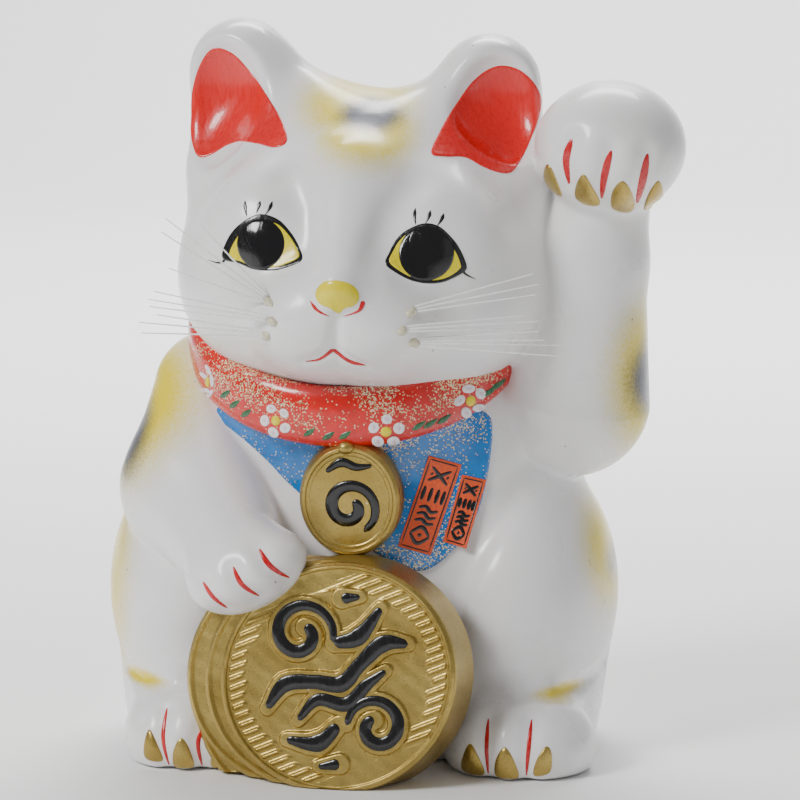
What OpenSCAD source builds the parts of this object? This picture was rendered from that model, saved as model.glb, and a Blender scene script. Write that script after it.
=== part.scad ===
// Beckoning cat figurine: a slip-cast, glazed cat of the 290 mm size that sits on a flat foot.
// The cat faces -Y, its raised foreleg is on +X, Z is up, and the foot stands on z = 0.
// The torso, head and forelegs are separate hollow castings luted together, their skins
// taken from fields of soft masses: each field is negative inside and positive outside.

/* [Castings] */
// Wall of the torso and head castings (mm)
wall = 6; // [4:0.5:8]
// Wall of the two foreleg castings (mm)
limb_wall = 5; // [3.5:0.5:7]
// Gap left for glaze or glue between luted pieces (mm)
joint_gap = 0.2; // [0.1:0.05:0.4]
// Depth of the toe creases (mm)
crease_radius = 1.3; // [0.8:0.1:2]

/* [Base] */
// Thickness of the foot and of the slab that closes it (mm)
base_thickness = 6; // [5:0.5:9]
// Radius of the rounded ends of the base slab (mm)
slab_end_radius = 38; // [34:1:40]
// Half the distance between the slab's two end centres (mm)
slab_reach = 38; // [30:1:44]
// Radius of the hole that empties the bank (mm)
stopper_radius = 14.5; // [12:0.5:15]
// Radius of the stopper's flange (mm)
flange_radius = 18; // [17:0.5:18]
// Thickness of the stopper's flange (mm)
flange_thickness = 2.4; // [1.5:0.1:3]
// Length of the stopper's plug above its flange (mm)
plug_length = 9; // [6:0.5:14]
// Height of the flange above the surface the cat stands on (mm)
flange_recess = 0.8; // [0.4:0.1:1.5]
// Running clearance of the stopper, radial (mm)
stopper_clearance = 0.08; // [0.02:0.01:0.1]

/* [Coin slot] */
// Length of the slot in the back of the head (mm)
slot_length = 36; // [30:1:40]
// Width of the slot (mm)
slot_width = 5; // [4.2:0.1:6]

/* [Collar and bib] */
// Half of the collar's height (mm)
collar_half_height = 12; // [9:0.5:14]
// Thickness of the collar at its middle (mm)
collar_thickness = 5; // [3:0.5:7]
// Thickness of the bib (mm)
bib_thickness = 1.2; // [0.8:0.1:2]
// Thickness of a paper seal (mm)
seal_thickness = 0.4; // [0.3:0.1:0.6]

/* [Coins and medallion] */
// Half width of a coin (mm)
coin_half_width = 46; // [40:0.5:47]
// Half height of a coin (mm)
coin_half_height = 43.5; // [38:0.5:44]
// Thickness of the front coin (mm)
coin_thickness = 23; // [18:0.5:24]
// Thickness of each coin behind the front one (mm)
fan_thickness = 6; // [4:0.5:6]
// Width of the raised rim of a coin and of the medallion (mm)
rim_width = 2.2; // [1.5:0.1:3]
// Height of the rims above the faces (mm)
rim_height = 0.9; // [0.5:0.1:1.5]
// Height of the brush ornament above its face (mm)
ornament_height = 1.4; // [0.8:0.1:2]
// Half width of the medallion (mm)
medallion_half_width = 18.8; // [16:0.1:20]
// Half height of the medallion (mm)
medallion_half_height = 21.6; // [18:0.1:22]

/* [Whiskers] */
// Radius of a bristle where it leaves the glue (mm)
bristle_root_radius = 0.45; // [0.3:0.05:0.6]
// Radius of a bristle at its tip (mm)
bristle_tip_radius = 0.2; // [0.1:0.05:0.4]
// Radius of the glue bead at a whisker hole (mm)
bead_radius = 2.6; // [2:0.1:3.5]
// Radius of a whisker hole through the wall (mm)
whisker_hole_radius = 1.6; // [1:0.1:2]

/* [Detail] */
// Facets around the head
head_facets = 68; // [60:4:88]
// Facets around the torso
torso_facets = 64; // [60:4:88]
// Facets around a foreleg
limb_facets = 26; // [24:2:40]
// Facets around the coins and the medallion
oval_facets = 72; // [48:4:96]

/* [Hidden] */
BRISTLES = [
  ["left_upper",  [-26, -84, 187], [[-52, -82, 215], [-66, -82, 218], [-68, -82, 213], [-65, -82, 199]]],
  ["left_middle", [-24, -88, 180], [[-71, -82, 190], [-73, -83, 187], [-73, -81, 184]]],
  ["left_lower",  [-27, -85, 174], [[-70, -82, 181], [-77, -82, 178], [-76, -83, 174]]],
  ["right_upper", [29, -85, 184],  [[75, -82, 199], [77, -82, 195], [76, -82, 191]]],
  ["right_middle", [26, -88, 177], [[72, -82, 183], [77, -83, 181], [74, -81, 178]]],
  ["right_lower", [30, -84, 172],  [[77, -82, 177], [80, -84, 174], [86, -82, 172], [85, -84, 168]]]
];

white = [0.93, 0.92, 0.90];
gold = [0.63, 0.52, 0.25];
black = [0.05, 0.05, 0.06];
red = [0.82, 0.15, 0.12];
blue = [0.05, 0.42, 0.75];
orange = [0.90, 0.36, 0.20];
cream = [0.86, 0.82, 0.66];
rubber_grey = [0.22, 0.22, 0.23];

mid_x = -2.5;                  // middle plane of the torso
head_centre = [2, -12, 199];
head_roll = 2.7;               // the head leans a little towards the raised foreleg
head_hollow = 1;               // field numbers
torso_skin = 0;
head_skin = 2;
raised_skin = 3;
raised_hollow = 4;
lowered_skin = 5;
lowered_hollow = 6;
stopper_y = 26;
slab_y = 10;
collar_centre = [-3, -3];
collar_radii = [64, 57];
coin_centre = [0.6, -87, 41.9];
coin_lean = -8;                // the coins lean back on the belly
coin_turn = -4;
coin_spin = -23;
medallion_centre = [1.5, -61.5, 107];
medallion_lean = 5;
far = 400;
bib_gap = 0.45;                // the bib's plate clears the facets of the breast
bead_gap = 0.02;               // a bristle's flat end is this clear of its bead
draft = 0.12;                  // sideways growth of a coin's wall per mm of depth

// ---- fields of soft masses ----
function soft(a, b, k) = let (h = max(k - abs(a - b), 0)/k) min(a, b) - h*h*k/4;
function egg(p, c, r) =
  let (q = p - c,
       a = norm([q.x/r.x, q.y/r.y, q.z/r.z]),
       b = norm([q.x/(r.x*r.x), q.y/(r.y*r.y), q.z/(r.z*r.z)]))
  a*(a - 1)/max(b, 1e-6);
function pod(p, a, b, ra, rb) =
  let (ab = b - a, t = max(0, min(1, (p - a)*ab/(ab*ab))))
  norm(p - a - t*ab) - (ra + (rb - ra)*t);
function fold(p, x) = [abs(p.x - x), p.y, p.z];
function rolled(p) =
  let (q = p - head_centre, c = cos(head_roll), s = sin(head_roll))
  [abs(q.x*c - q.z*s), q.y, q.x*s + q.z*c];

function skull(m) =
  let (cranium = egg(m, [0, 3, 3], [72.5, 59, 61]),
       jowls = soft(cranium, egg(m, [25, -18, -15], [42.5, 42, 31]), 26),
       chin = soft(jowls, egg(m, [0, -48, -28], [26, 24, 14.5]), 20),
       muzzle = soft(chin, egg(m, [14, -59, -20], [20, 20, 15]), 14),
       eyes = soft(muzzle, egg(m, [33, -38, 12], [23, 19, 22]), 14),
       bridge = soft(eyes, pod(m, [0, -42, 33], [0, -69, -4], 10, 11), 18))
  soft(bridge, egg(m, [0, -76, -5], [10, 9, 7]), 7);
function left_ear(p) =
  soft(pod(p, [-50, -4, 270], [-16, -8, 241], 18.5, 22), pod(p, [-50, -4, 270], [-52, -8, 234], 18.5, 19), 10);
function right_ear(p) =
  soft(pod(p, [49, -4, 265], [28, -8, 242], 18, 20), pod(p, [49, -4, 265], [54, -10, 234], 18, 20), 10);
function head_field(p) = soft(soft(skull(rolled(p)), left_ear(p), 16), right_ear(p), 16);
function head_hollow_field(p) =
  let (m = rolled(p)) soft(egg(m, [0, 3, -2], [65, 51, 49]), egg(m, [0, -46, -20], [26, 20, 14]), 20);

function torso_field(p) =
  let (m = fold(p, mid_x),
       belly = egg(m, [0, 8, 84], [74, 62, 85]),
       shoulders = soft(belly, egg(m, [46, 4, 120], [38, 38, 38]), 22),
       haunches = soft(shoulders, egg(m, [63, 4, 62], [40, 58, 57]), 12),
       seat = soft(haunches, min(egg(m, [61, 2, 16], [35, 58, 40]), egg(m, [0, 8, 12], [72, 57, 44])), 14),
       neck = soft(seat, egg(p, [-3, 0, 144], [62, 57, 38]), 16),
       feet = soft(neck, min(egg(p, [-64, -46, 10], [27, 28, 22]), egg(p, [67, -46, 10], [30, 28, 22])), 9),
       tail = min(pod(p, [26, 58, 14], [0, 69, 20], 11, 11), pod(p, [0, 69, 20], [-9, 66, 52], 11, 8)))
  soft(feet, tail, 8);

function raised_field(p) =
  let (upper = pod(p, [82, -6, 142], [91, -13, 196], 32, 21.5),
       wrist = soft(upper, pod(p, [91, -13, 196], [95, -15, 220], 21.5, 19), 6))
  soft(wrist, egg(p, [99, -26, 243], [29.5, 31, 26]), 8);
function raised_hollow_field(p) =
  soft(pod(p, [82, -6, 142], [91, -13, 196], 32, 21.5), egg(p, [99, -22, 238], [26, 26, 22]), 30) + limb_wall;

function paw_turned(p) =                   // the lowered paw slopes up towards the middle
  let (q = p - [-34, -78, 80], c = cos(18), s = sin(18)) [q.x*c + q.z*s, q.y, -q.x*s + q.z*c];
function forearm(p) =
  soft(pod(p, [-62, -6, 142], [-64, -26, 106], 24, 30), pod(p, [-64, -28, 106], [-42, -68, 84], 29, 23), 10);
function lowered_field(p) = soft(forearm(p), egg(paw_turned(p), [0, 0, 0], [25, 20, 17]), 10);
function lowered_hollow_field(p) =
  soft(pod(p, [-62, -6, 142], [-64, -26, 106], 24, 30), pod(p, [-64, -28, 106], [-52, -50, 94], 29, 23), 10)
  + limb_wall;

function field(id, p) =
  id == torso_skin ? torso_field(p) :
  id == head_skin ? head_field(p) :
  id == head_hollow ? head_hollow_field(p) :
  id == raised_skin ? raised_field(p) :
  id == raised_hollow ? raised_hollow_field(p) :
  id == lowered_skin ? lowered_field(p) : lowered_hollow_field(p);

// Distance along a ray, marched in from t, at which the field plus an offset is zero
function reach(id, from, dir, offset, t, steps = 40) =
  let (f = field(id, from + dir*t) + offset)
  (steps == 0 || abs(f) < 0.02) ? t : reach(id, from, dir, offset, t - f, steps - 1);
// Depth of the torso's or a limb's front at a place seen from the front
function front_y(id, x, z) = 150 - reach(id, [x, 150, z], [0, -1, 0], 0, 300);
function on_front(id, place, lift = 0) = [place.x, front_y(id, place.x, place.y) - lift, place.y];

// A closed skin of the field: rays leave the line from a to b square to it, and fan out
// over its two ends. `crowd` draws the columns towards the front.
module skin(id, a, b, offset, around, cap, middle, crowd = 0, start = 150) {
  axis = (a == b) ? [0, 0, 1] : (b - a)/norm(b - a);
  side = cross([0, 1, 0], axis)/norm(cross([0, 1, 0], axis));
  back = cross(axis, side);
  rows = concat(
    [for (i = [1:cap]) [a, -90 + 90*i/cap]],
    [for (j = [1:1:middle - 1]) [a + (b - a)*j/middle, 0]],
    [for (i = [(middle > 0 ? 0 : 1):cap - 1]) [b, 90*i/cap]]);
  turns = [for (k = [0:around - 1]) let (t = 360*k/around) t + crowd*sin(t)];
  ring = [for (row = rows) for (t = turns)
    let (dir = cos(row[1])*(sin(t)*side + cos(t)*back) + sin(row[1])*axis)
    row[0] + dir*reach(id, row[0], dir, offset, start)];
  low = a - axis*reach(id, a, -axis, offset, start);
  high = b + axis*reach(id, b, axis, offset, start);
  n = len(rows);
  points = concat([low], ring, [high]);
  faces = concat(
    [for (k = [0:around - 1]) [0, 1 + (k + 1)%around, 1 + k]],
    [for (i = [0:n - 2]) for (k = [0:around - 1]) for (half = [0, 1])
      let (p = 1 + i*around + k, q = 1 + i*around + (k + 1)%around)
      half == 0 ? [p, q, p + around] : [q, q + around, p + around]],
    [for (k = [0:around - 1]) [1 + n*around, 1 + (n - 1)*around + k, 1 + (n - 1)*around + (k + 1)%around]]);
  polyhedron(points, faces);
}
module torso_solid() skin(torso_skin, [mid_x, 6, 24], [mid_x, 6, 116], 0, torso_facets, 9, 12);
module torso_hollow() skin(torso_skin, [mid_x, 6, 30], [mid_x, 6, 110], wall, 26, 5, 5);
module head_solid() skin(head_skin, [0, -8, 198], [0, -8, 198], 0, head_facets, 24, 0, 22);
module head_cavity() skin(head_hollow, [0, -8, 196], [0, -8, 196], 0, 26, 7, 0);
module raised_solid() skin(raised_skin, [82, -6, 142], [99, -24, 243], 0, limb_facets, 6, 13, 0, 90);
module lowered_solid() skin(lowered_skin, [-62, -12, 138], [-38, -74, 83], 0, limb_facets, 6, 10, 0, 90);

// ---- where the torso and head castings meet, behind the collar ----
function seam_z(y) = 170.5 + soft(0.54*(y + 3), 3, 14);
module above_seam(shift = 0) {
  line = [for (y = [-110:6:82]) [y, seam_z(y) + shift]];
  rotate([90, 0, 90])
    translate([0, 0, -far/2])
      linear_extrude(far)
        polygon(concat(line, [[90, far], [-110, far]]));
}
module below_seam(shift = 0) {
  line = [for (y = [-110:6:82]) [y, seam_z(y) - shift]];
  rotate([90, 0, 90])
    translate([0, 0, -far/2])
      linear_extrude(far)
        polygon(concat([[-110, -far], [90, -far]], [for (i = [1:len(line)]) line[len(line) - i]]));
}
module below_ground() translate([-far/2, -far/2, -far]) cube(far);

// ---- small shared shapes ----
module stroke(places, radii) {
  for (i = [0:len(places) - 2]) hull() {
    translate(places[i]) circle(radii[i], $fn = 16);
    translate(places[i + 1]) circle(radii[i + 1], $fn = 16);
  }
}
module bar(a, b, ra, rb) {
  hull() {
    translate(a) sphere(ra, $fn = 10);
    translate(b) sphere(rb, $fn = 10);
  }
}
function oval(rx, ry) = [for (k = [0:oval_facets - 1]) let (t = 360*k/oval_facets) [rx*cos(t), ry*sin(t)]];
module standing(depth) rotate([90, 0, 0]) linear_extrude(depth) children();
// An oval plate from its front at y = 0 to its back, with the mould's draft on its side
module oval_plate(rx, ry, depth) {
  hull() {
    translate([0, 0.01, 0]) standing(0.01) polygon(oval(rx, ry));
    translate([0, depth, 0]) standing(0.01) polygon(oval(rx + draft*depth, ry + draft*depth));
  }
}
module oval_rim(rx, ry) {
  standing(rim_height)
    difference() {
      polygon(oval(rx, ry));
      polygon(oval(rx - rim_width, ry - rim_width));
    }
}
module creases(id, lines) {
  for (line = lines) bar(on_front(id, line[0], 0.5), on_front(id, line[1], 0.5), crease_radius, crease_radius);
}
module claws(id, places) {
  for (place = places) bar(on_front(id, place, -1.6), on_front(id, place + [0, 5], -0.4), 2.6, 1);
}

// ---- coins ----
fan_shift = [[0, 0], [-7.5, 0.5], [-16.5, 1], [-15, -8]];
fan_spin = [0, -5, -9, -14];
fan_depth = [0, 4, 4 + fan_thickness + joint_gap/2, 4 + 2*fan_thickness + joint_gap];
module coin_frame() translate(coin_centre) rotate([coin_lean, 0, coin_turn]) children();
module coin_place(i) {
  coin_frame()
    translate([fan_shift[i].x, fan_depth[i], fan_shift[i].y])
      rotate([0, coin_spin + fan_spin[i], 0])
        children();
}
module thick_coin(grow = 0)
  coin_place(0)
    translate([0, -grow, 0])
      oval_plate(coin_half_width + grow, coin_half_height + grow, coin_thickness + 2*grow);
module coin_stack(grow, before = 0) {
  thick_coin(grow);
  if (before > 0)
    coin_place(0)
      translate([0, -before, 0])
        oval_plate(coin_half_width + grow, coin_half_height + grow, before);
  for (i = [1:3])
    coin_place(i)
      translate([0, -grow, 0])
        oval_plate(coin_half_width + grow, coin_half_height + grow, fan_thickness + 2*grow);
}
// A coin of the fan is a crescent: the thick front coin takes the place of the rest of it
module plain_coin(i) {
  color(gold)
    difference() {
      coin_place(i) oval_plate(coin_half_width, coin_half_height, fan_thickness);
      thick_coin(joint_gap);
      below_ground();
    }
}
coin_relief = 1.8;             // room in front of the face for the ridges and the ornament
ridge_pitch = 3.6;
ridge_count = 15;
module coin_ridges() {
  for (side = [-1, 1], k = [0:ridge_count - 1]) {
    v = (k - (ridge_count - 1)/2)*ridge_pitch;
    edge = (coin_half_width - rim_width)*sqrt(1 - pow(v/coin_half_height, 2));
    translate([side*(edge - 5.5), -0.3, v]) cube([6, 1.4, 1.1], center = true);
  }
}

// One brush stroke that curls inwards round a centre
curl_steps = 14;
module curl(centre, radii, angles, widths) {
  shares = [for (k = [0:curl_steps]) k/curl_steps];
  stroke([for (s = shares)
            let (r = radii[0] + (radii[1] - radii[0])*s, t = angles[0] + (angles[1] - angles[0])*s)
            centre + r*[cos(t), sin(t)]],
         [for (s = shares) widths[0] + (widths[1] - widths[0])*s + 0.9*sin(180*s)]);
}
// Brush ornament of the front coin: a curling cloud, two waves, a curling crest and drops, with no writing
module coin_brush() {
  curl([-7, 21], [13.5, 3], [-35, 400], [1.4, 2.1]);
  stroke([[4, 13], [14, 12], [26, 19]], [2.2, 3.5, 1.4]);
  stroke([[-30, -1], [-20, 5], [-9, 2], [1, -2.5], [11, 2], [22, 6], [31, 2.5]],
         [1.4, 3.2, 2.8, 3.3, 2.8, 3.5, 1.5]);
  stroke([[-20, -9.5], [-10, -5], [0, -10.5], [10, -6.5], [19, -4]], [1.2, 2.5, 2.9, 2.5, 1.1]);
  curl([8, -23], [12, 3], [155, -270], [1.4, 2.1]);
  stroke([[-6, -17], [-16, -20.5], [-27, -15]], [2.2, 3.5, 1.4]);
  stroke([[13, 28], [20, 26]], [2.5, 1.1]);
  stroke([[-19, -29], [-11, -31]], [1.1, 2.5]);
}
// Brush ornament of the medallion: a swirl under one wave
module medallion_brush() {
  curl([0, -2.5], [11.3, 2.4], [-60, 420], [1.4, 2]);
  stroke([[-9, 11.5], [-3, 15.3], [3, 13.6], [9, 14.2]], [0.9, 2, 1.6, 0.8]);
}

// ---- castings ----
hind_creases = [[[-73, 22], [-72, 5]], [[-55, 18], [-56, 5]], [[56, 22], [57, 5]], [[73, 23], [73, 5]]];
hind_claws = [[-79, 4.5], [-65, 4.5], [-50, 4.5], [50, 4.5], [66, 4.5], [83, 4.5]];
raised_creases = [[[86, 245], [85, 232]], [[99, 241], [98, 227]], [[113, 240], [111, 223]]];
raised_claws = [[78.5, 229], [92, 225], [105, 224], [117, 224]];
lowered_creases = [[[-50, 77], [-43, 70]], [[-37, 84], [-30, 75]], [[-27, 90], [-19, 81]]];

module slab_outline(grow = 0) {
  for (side = [-1, 1]) translate([side*slab_reach, slab_y]) circle(slab_end_radius + grow, $fn = 120);
  translate([-slab_reach, slab_y - slab_end_radius - grow])
    square([2*slab_reach, 2*(slab_end_radius + grow)]);
}
module body_casting() {
  color(white)
    difference() {
      union() {
        torso_solid();
        claws(torso_skin, hind_claws);
      }
      difference() {
        torso_hollow();
        translate([-far/2, -far/2, base_thickness - far]) cube(far);
      }
      creases(torso_skin, hind_creases);
      above_seam();
      below_ground();
      translate([0, 0, -1]) linear_extrude(base_thickness + 2) slab_outline(joint_gap);
      coin_stack(joint_gap);
    }
}

module ear_dish(place, radii, turn) translate(place) rotate(turn) scale(radii) sphere(1, $fn = 30);
module whisker_holes() {
  for (b = BRISTLES) {
    inward = ([0, -20, 190] - b[1])/norm([0, -20, 190] - b[1]);
    hull() {
      translate(b[1]) sphere(bead_radius + 0.35, $fn = 16);
      translate(b[1] + inward*0.1) sphere(bead_radius + 0.35, $fn = 16);
    }
    bar(b[1], b[1] + inward*26, whisker_hole_radius + 0.35, whisker_hole_radius + 0.35);
  }
}
module coin_slot() {
  translate([0, 70, 232])
    rotate([90, 0, 0])
      linear_extrude(60)
        stroke([[-(slot_length - slot_width)/2, 0], [(slot_length - slot_width)/2, 0]],
               [slot_width/2, slot_width/2]);
}
module head_casting() {
  color(white)
    difference() {
      union() {
        head_solid();
        torso_solid();
      }
      head_cavity();
      torso_hollow();
      ear_dish([-55, -27, 255], [21, 14, 31], [-8, -12, -20]);
      ear_dish([53, -27, 254], [21, 14, 29], [-8, 16, 18]);
      whisker_holes();
      coin_slot();
      below_seam();
    }
}

module raised_foreleg() {
  color(white)
    difference() {
      union() {
        raised_solid();
        claws(raised_skin, raised_claws);
      }
      skin(raised_hollow, [82, -6, 142], [99, -22, 238], 0, 14, 4, 5, 0, 90);
      creases(raised_skin, raised_creases);
      bar([60, 0, 140], [80, -4, 142], 8, 8);
      torso_solid();
      head_solid();
    }
}
module lowered_foreleg() {
  color(white)
    difference() {
      lowered_solid();
      skin(lowered_hollow, [-62, -12, 138], [-56, -44, 98], 0, 14, 4, 4, 0, 90);
      creases(lowered_skin, lowered_creases);
      for (z = [96, 112, 128, 144, 150]) bar([-50, 0, z], [-62, -14, z], 5, 5);
      torso_solid();
      head_solid();
      coin_stack(joint_gap, coin_relief);
    }
}

// ---- base ----
module base_slab() {
  color(white)
    difference() {
      linear_extrude(base_thickness) slab_outline();
      translate([0, stopper_y, -1]) cylinder(r = stopper_radius + stopper_clearance, h = 20, $fn = 120);
      translate([0, stopper_y, -1])
        cylinder(r = flange_radius + 0.6, h = 1 + flange_recess + flange_thickness + joint_gap, $fn = 120);
    }
}
module base_stopper() {
  color(rubber_grey)
    translate([0, stopper_y, 0])
      rotate_extrude($fn = 120)
        polygon([[0, flange_recess], [flange_radius - 0.6, flange_recess], [flange_radius, flange_recess + 0.6],
                 [flange_radius, flange_recess + flange_thickness],
                 [stopper_radius, flange_recess + flange_thickness],
                 [stopper_radius, flange_recess + plug_length - 2],
                 [stopper_radius - 1.5, flange_recess + plug_length],
                 [0, flange_recess + plug_length]]);
}

// ---- collar, bib, medallion and seals ----
function collar_point(t, out, up) =
  let (x = collar_centre.x + (collar_radii.x + out)*sin(t), y = collar_centre.y - (collar_radii.y + out)*cos(t))
  [x, y, seam_z(y) + up];
collar_steps = 44;
module collar_ring() {
  h = collar_half_height;
  d = collar_thickness;
  profile = [[-9, -h], [0.5, -h], [0.8*d, -0.5*h], [0.8*d, 0.5*h], [0.5, h], [-9, h]];
  n = len(profile);
  ends = [[for (i = [0:n - 1]) i], [for (i = [0:n - 1]) 2*n - 1 - i]];
  sides = [for (i = [0:n - 1]) [i, i + n, (i + 1)%n + n, (i + 1)%n]];
  for (k = [0:collar_steps - 1]) {
    hull() {
      polyhedron([for (t = [k, (k + 1)%collar_steps]) for (c = profile)
                   collar_point(360*t/collar_steps, c.x, c.y)], concat(ends, sides));
    }
  }
}
module collar() {
  color(red)
    difference() {
      collar_ring();
      torso_solid();
      head_solid();
      raised_solid();
      lowered_solid();
    }
}

function collar_edge(x) =
  let (s = max(0, 1 - pow((x - collar_centre.x)/(collar_radii.x + 1), 2)),
       y = collar_centre.y - collar_radii.y*sqrt(s))
  seam_z(y) - collar_half_height + 3;
// Lower outline of the bib, from its left lobe round its point to its right side
bib_hem = [[-55, 136], [-41, 126], [-26, 112.5], [-10, 99.5], [8, 88], [22, 79], [31, 78.5],
           [41, 86], [48, 98], [52, 112], [53, 127]];
bib_top_x = [-50, 51];
bib_columns = 20;
bib_rows = 8;
function along(list, t) =
  let (i = min(floor(t), len(list) - 2)) list[i] + (list[i + 1] - list[i])*(t - i);
function bib_place(f, g) =
  let (hem = along(bib_hem, f*(len(bib_hem) - 1)),
       x = bib_top_x[0] + (bib_top_x[1] - bib_top_x[0])*f,
       top = [x, collar_edge(x)])
  hem + (top - hem)*g;
// A sheet that follows the torso's front: place(i, j) on a grid, from one lift to the other
module sheet(places, columns, rows, inner, outer) {
  n = (columns + 1)*(rows + 1);
  points = concat([for (p = places) on_front(torso_skin, p, outer)],
                  [for (p = places) on_front(torso_skin, p, inner)]);
  rim = concat([for (i = [0:columns - 1]) i],
               [for (j = [0:rows - 1]) j*(columns + 1) + columns],
               [for (i = [0:columns - 1]) rows*(columns + 1) + columns - i],
               [for (j = [0:rows - 1]) (rows - j)*(columns + 1)]);
  faces = concat(
    [for (j = [0:rows - 1]) for (i = [0:columns - 1]) for (half = [0, 1])
      let (a = j*(columns + 1) + i, b = a + 1, c = a + columns + 1, d = c + 1)
      half == 0 ? [a, c, b] : [b, c, d]],
    [for (j = [0:rows - 1]) for (i = [0:columns - 1]) for (half = [0, 1])
      let (a = n + j*(columns + 1) + i, b = a + 1, c = a + columns + 1, d = c + 1)
      half == 0 ? [a, b, c] : [b, d, c]],
    [for (i = [0:len(rim) - 1]) for (half = [0, 1])
      let (a = rim[i], b = rim[(i + 1)%len(rim)])
      half == 0 ? [a, b, n + b] : [a, n + b, n + a]]);
  polyhedron(points, faces);
}
module bib() {
  color(blue)
    difference() {
      sheet([for (j = [0:bib_rows]) for (i = [0:bib_columns]) bib_place(i/bib_columns, j/bib_rows)],
            bib_columns, bib_rows, bib_gap, bib_gap + bib_thickness);
      collar_ring();
      coin_stack(joint_gap);
      lowered_solid();
    }
}

module medallion_frame() translate(medallion_centre) rotate([medallion_lean, 0, 0]) children();
// The plate's front is flat, its back follows the bib
module medallion_plate() {
  shares = [1, 0.66, 0.33];
  lift = bib_gap + bib_thickness + joint_gap;
  c = cos(medallion_lean);
  d = sin(medallion_lean);
  front = [for (q = oval(medallion_half_width, medallion_half_height))
    medallion_centre + [q.x, -q.y*d, q.y*c]];
  back = [for (share = shares) for (q = front)
    on_front(torso_skin, [medallion_centre.x + (q.x - medallion_centre.x)*share,
                          medallion_centre.z + (q.z - medallion_centre.z)*share], lift)];
  middle = on_front(torso_skin, [medallion_centre.x, medallion_centre.z], lift);
  n = oval_facets;
  points = concat(front, back, [medallion_centre, middle]);
  polyhedron(points, concat(
    [for (k = [0:n - 1]) [4*n, (k + 1)%n, k]],
    [for (i = [0:2]) for (k = [0:n - 1]) for (half = [0, 1])
      let (a = i*n + k, b = i*n + (k + 1)%n)
      half == 0 ? [a, b, a + n] : [b, b + n, a + n]],
    [for (k = [0:n - 1]) [3*n + k, 3*n + (k + 1)%n, 4*n + 1]]));
}
module medallion() {
  color(gold) {
    medallion_plate();
    medallion_frame() oval_rim(medallion_half_width, medallion_half_height);
  }
}
module medallion_ornament() {
  color(black)
    medallion_frame()
      standing(ornament_height)
        medallion_brush();
}

module coin_front() {
  color(gold)
    difference() {
      coin_place(0) {
        oval_plate(coin_half_width, coin_half_height, coin_thickness);
        oval_rim(coin_half_width, coin_half_height);
        coin_ridges();
      }
      below_ground();
    }
}
module coin_ornament() {
  color(black)
    coin_place(0)
      standing(ornament_height)
        coin_brush();
}
module coin_second() plain_coin(1);
module coin_third() plain_coin(2);
module coin_fourth() plain_coin(3);

// A slip of paper: its middle, size and slope, laid on the bib
module seal(middle, width, height, slope) {
  columns = 4;
  rows = 8;
  places = [for (j = [0:rows]) for (i = [0:columns])
    let (u = (i/columns - 0.5)*width, v = (j/rows - 0.5)*height)
    middle + [u*cos(slope) - v*sin(slope), u*sin(slope) + v*cos(slope)]];
  lift = bib_gap + bib_thickness + joint_gap;
  color(orange) sheet(places, columns, rows, lift, lift + seal_thickness);
}
module paper_seal_large() seal([31, 103.5], 12, 35, -18);
module paper_seal_small() seal([44, 101], 9, 26, -15);

// ---- whiskers ----
// A bristle starts where its flat end is just clear of the round bead
module bristle(hole, tip, spread) {
  way = tip - hole - spread;
  along = way/norm(way);
  off_axis = norm(spread - along*(spread*along));
  clear = bead_radius + bead_gap;
  start = hole + spread
          + along*(sqrt(clear*clear - pow(max(0, off_axis - bristle_root_radius), 2)) - spread*along);
  translate(start)
    rotate([0, acos(along.z), atan2(along.y, along.x)])
      cylinder(r1 = bristle_root_radius, r2 = bristle_tip_radius, h = norm(tip - start), $fn = 24);
}
// The bristles of a tuft leave their bead side by side
function spread_of(i) = [0, -0.9 + 0.3*(i%2), 1.9 - 0.95*i];
module tuft_bristle(b, i) color(cream) bristle(b[1], b[2][i], spread_of(i));
module glue_bead(b) {
  inward = ([0, -20, 190] - b[1])/norm([0, -20, 190] - b[1]);
  color(cream) {
    translate(b[1]) sphere(bead_radius, $fn = 48);
    translate(b[1])
      rotate([0, acos(inward.z), atan2(inward.y, inward.x)])
        cylinder(r = whisker_hole_radius, h = 8, $fn = 48);
  }
}

body_casting();
head_casting();
raised_foreleg();
lowered_foreleg();
base_slab();
base_stopper();
collar();
bib();
medallion();
medallion_ornament();
coin_front();
coin_ornament();
coin_second();
coin_third();
coin_fourth();
paper_seal_large();
paper_seal_small();
for (b = BRISTLES) {
  glue_bead(b);
  for (i = [1:len(b[2])]) {
    tuft_bristle(b, i - 1);
  }
}
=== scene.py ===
# %% [markdown]
# # A glazed beckoning cat
# The real figure is slip-cast: thin clay shells are luted together, fired, glazed white, sprayed with soft
# patches of yellow and charcoal, and painted with thick enamel. A modeller could sculpt it by hand. Here each
# clay mass is a formula, so the same few numbers give the same cat on each run.

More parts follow.
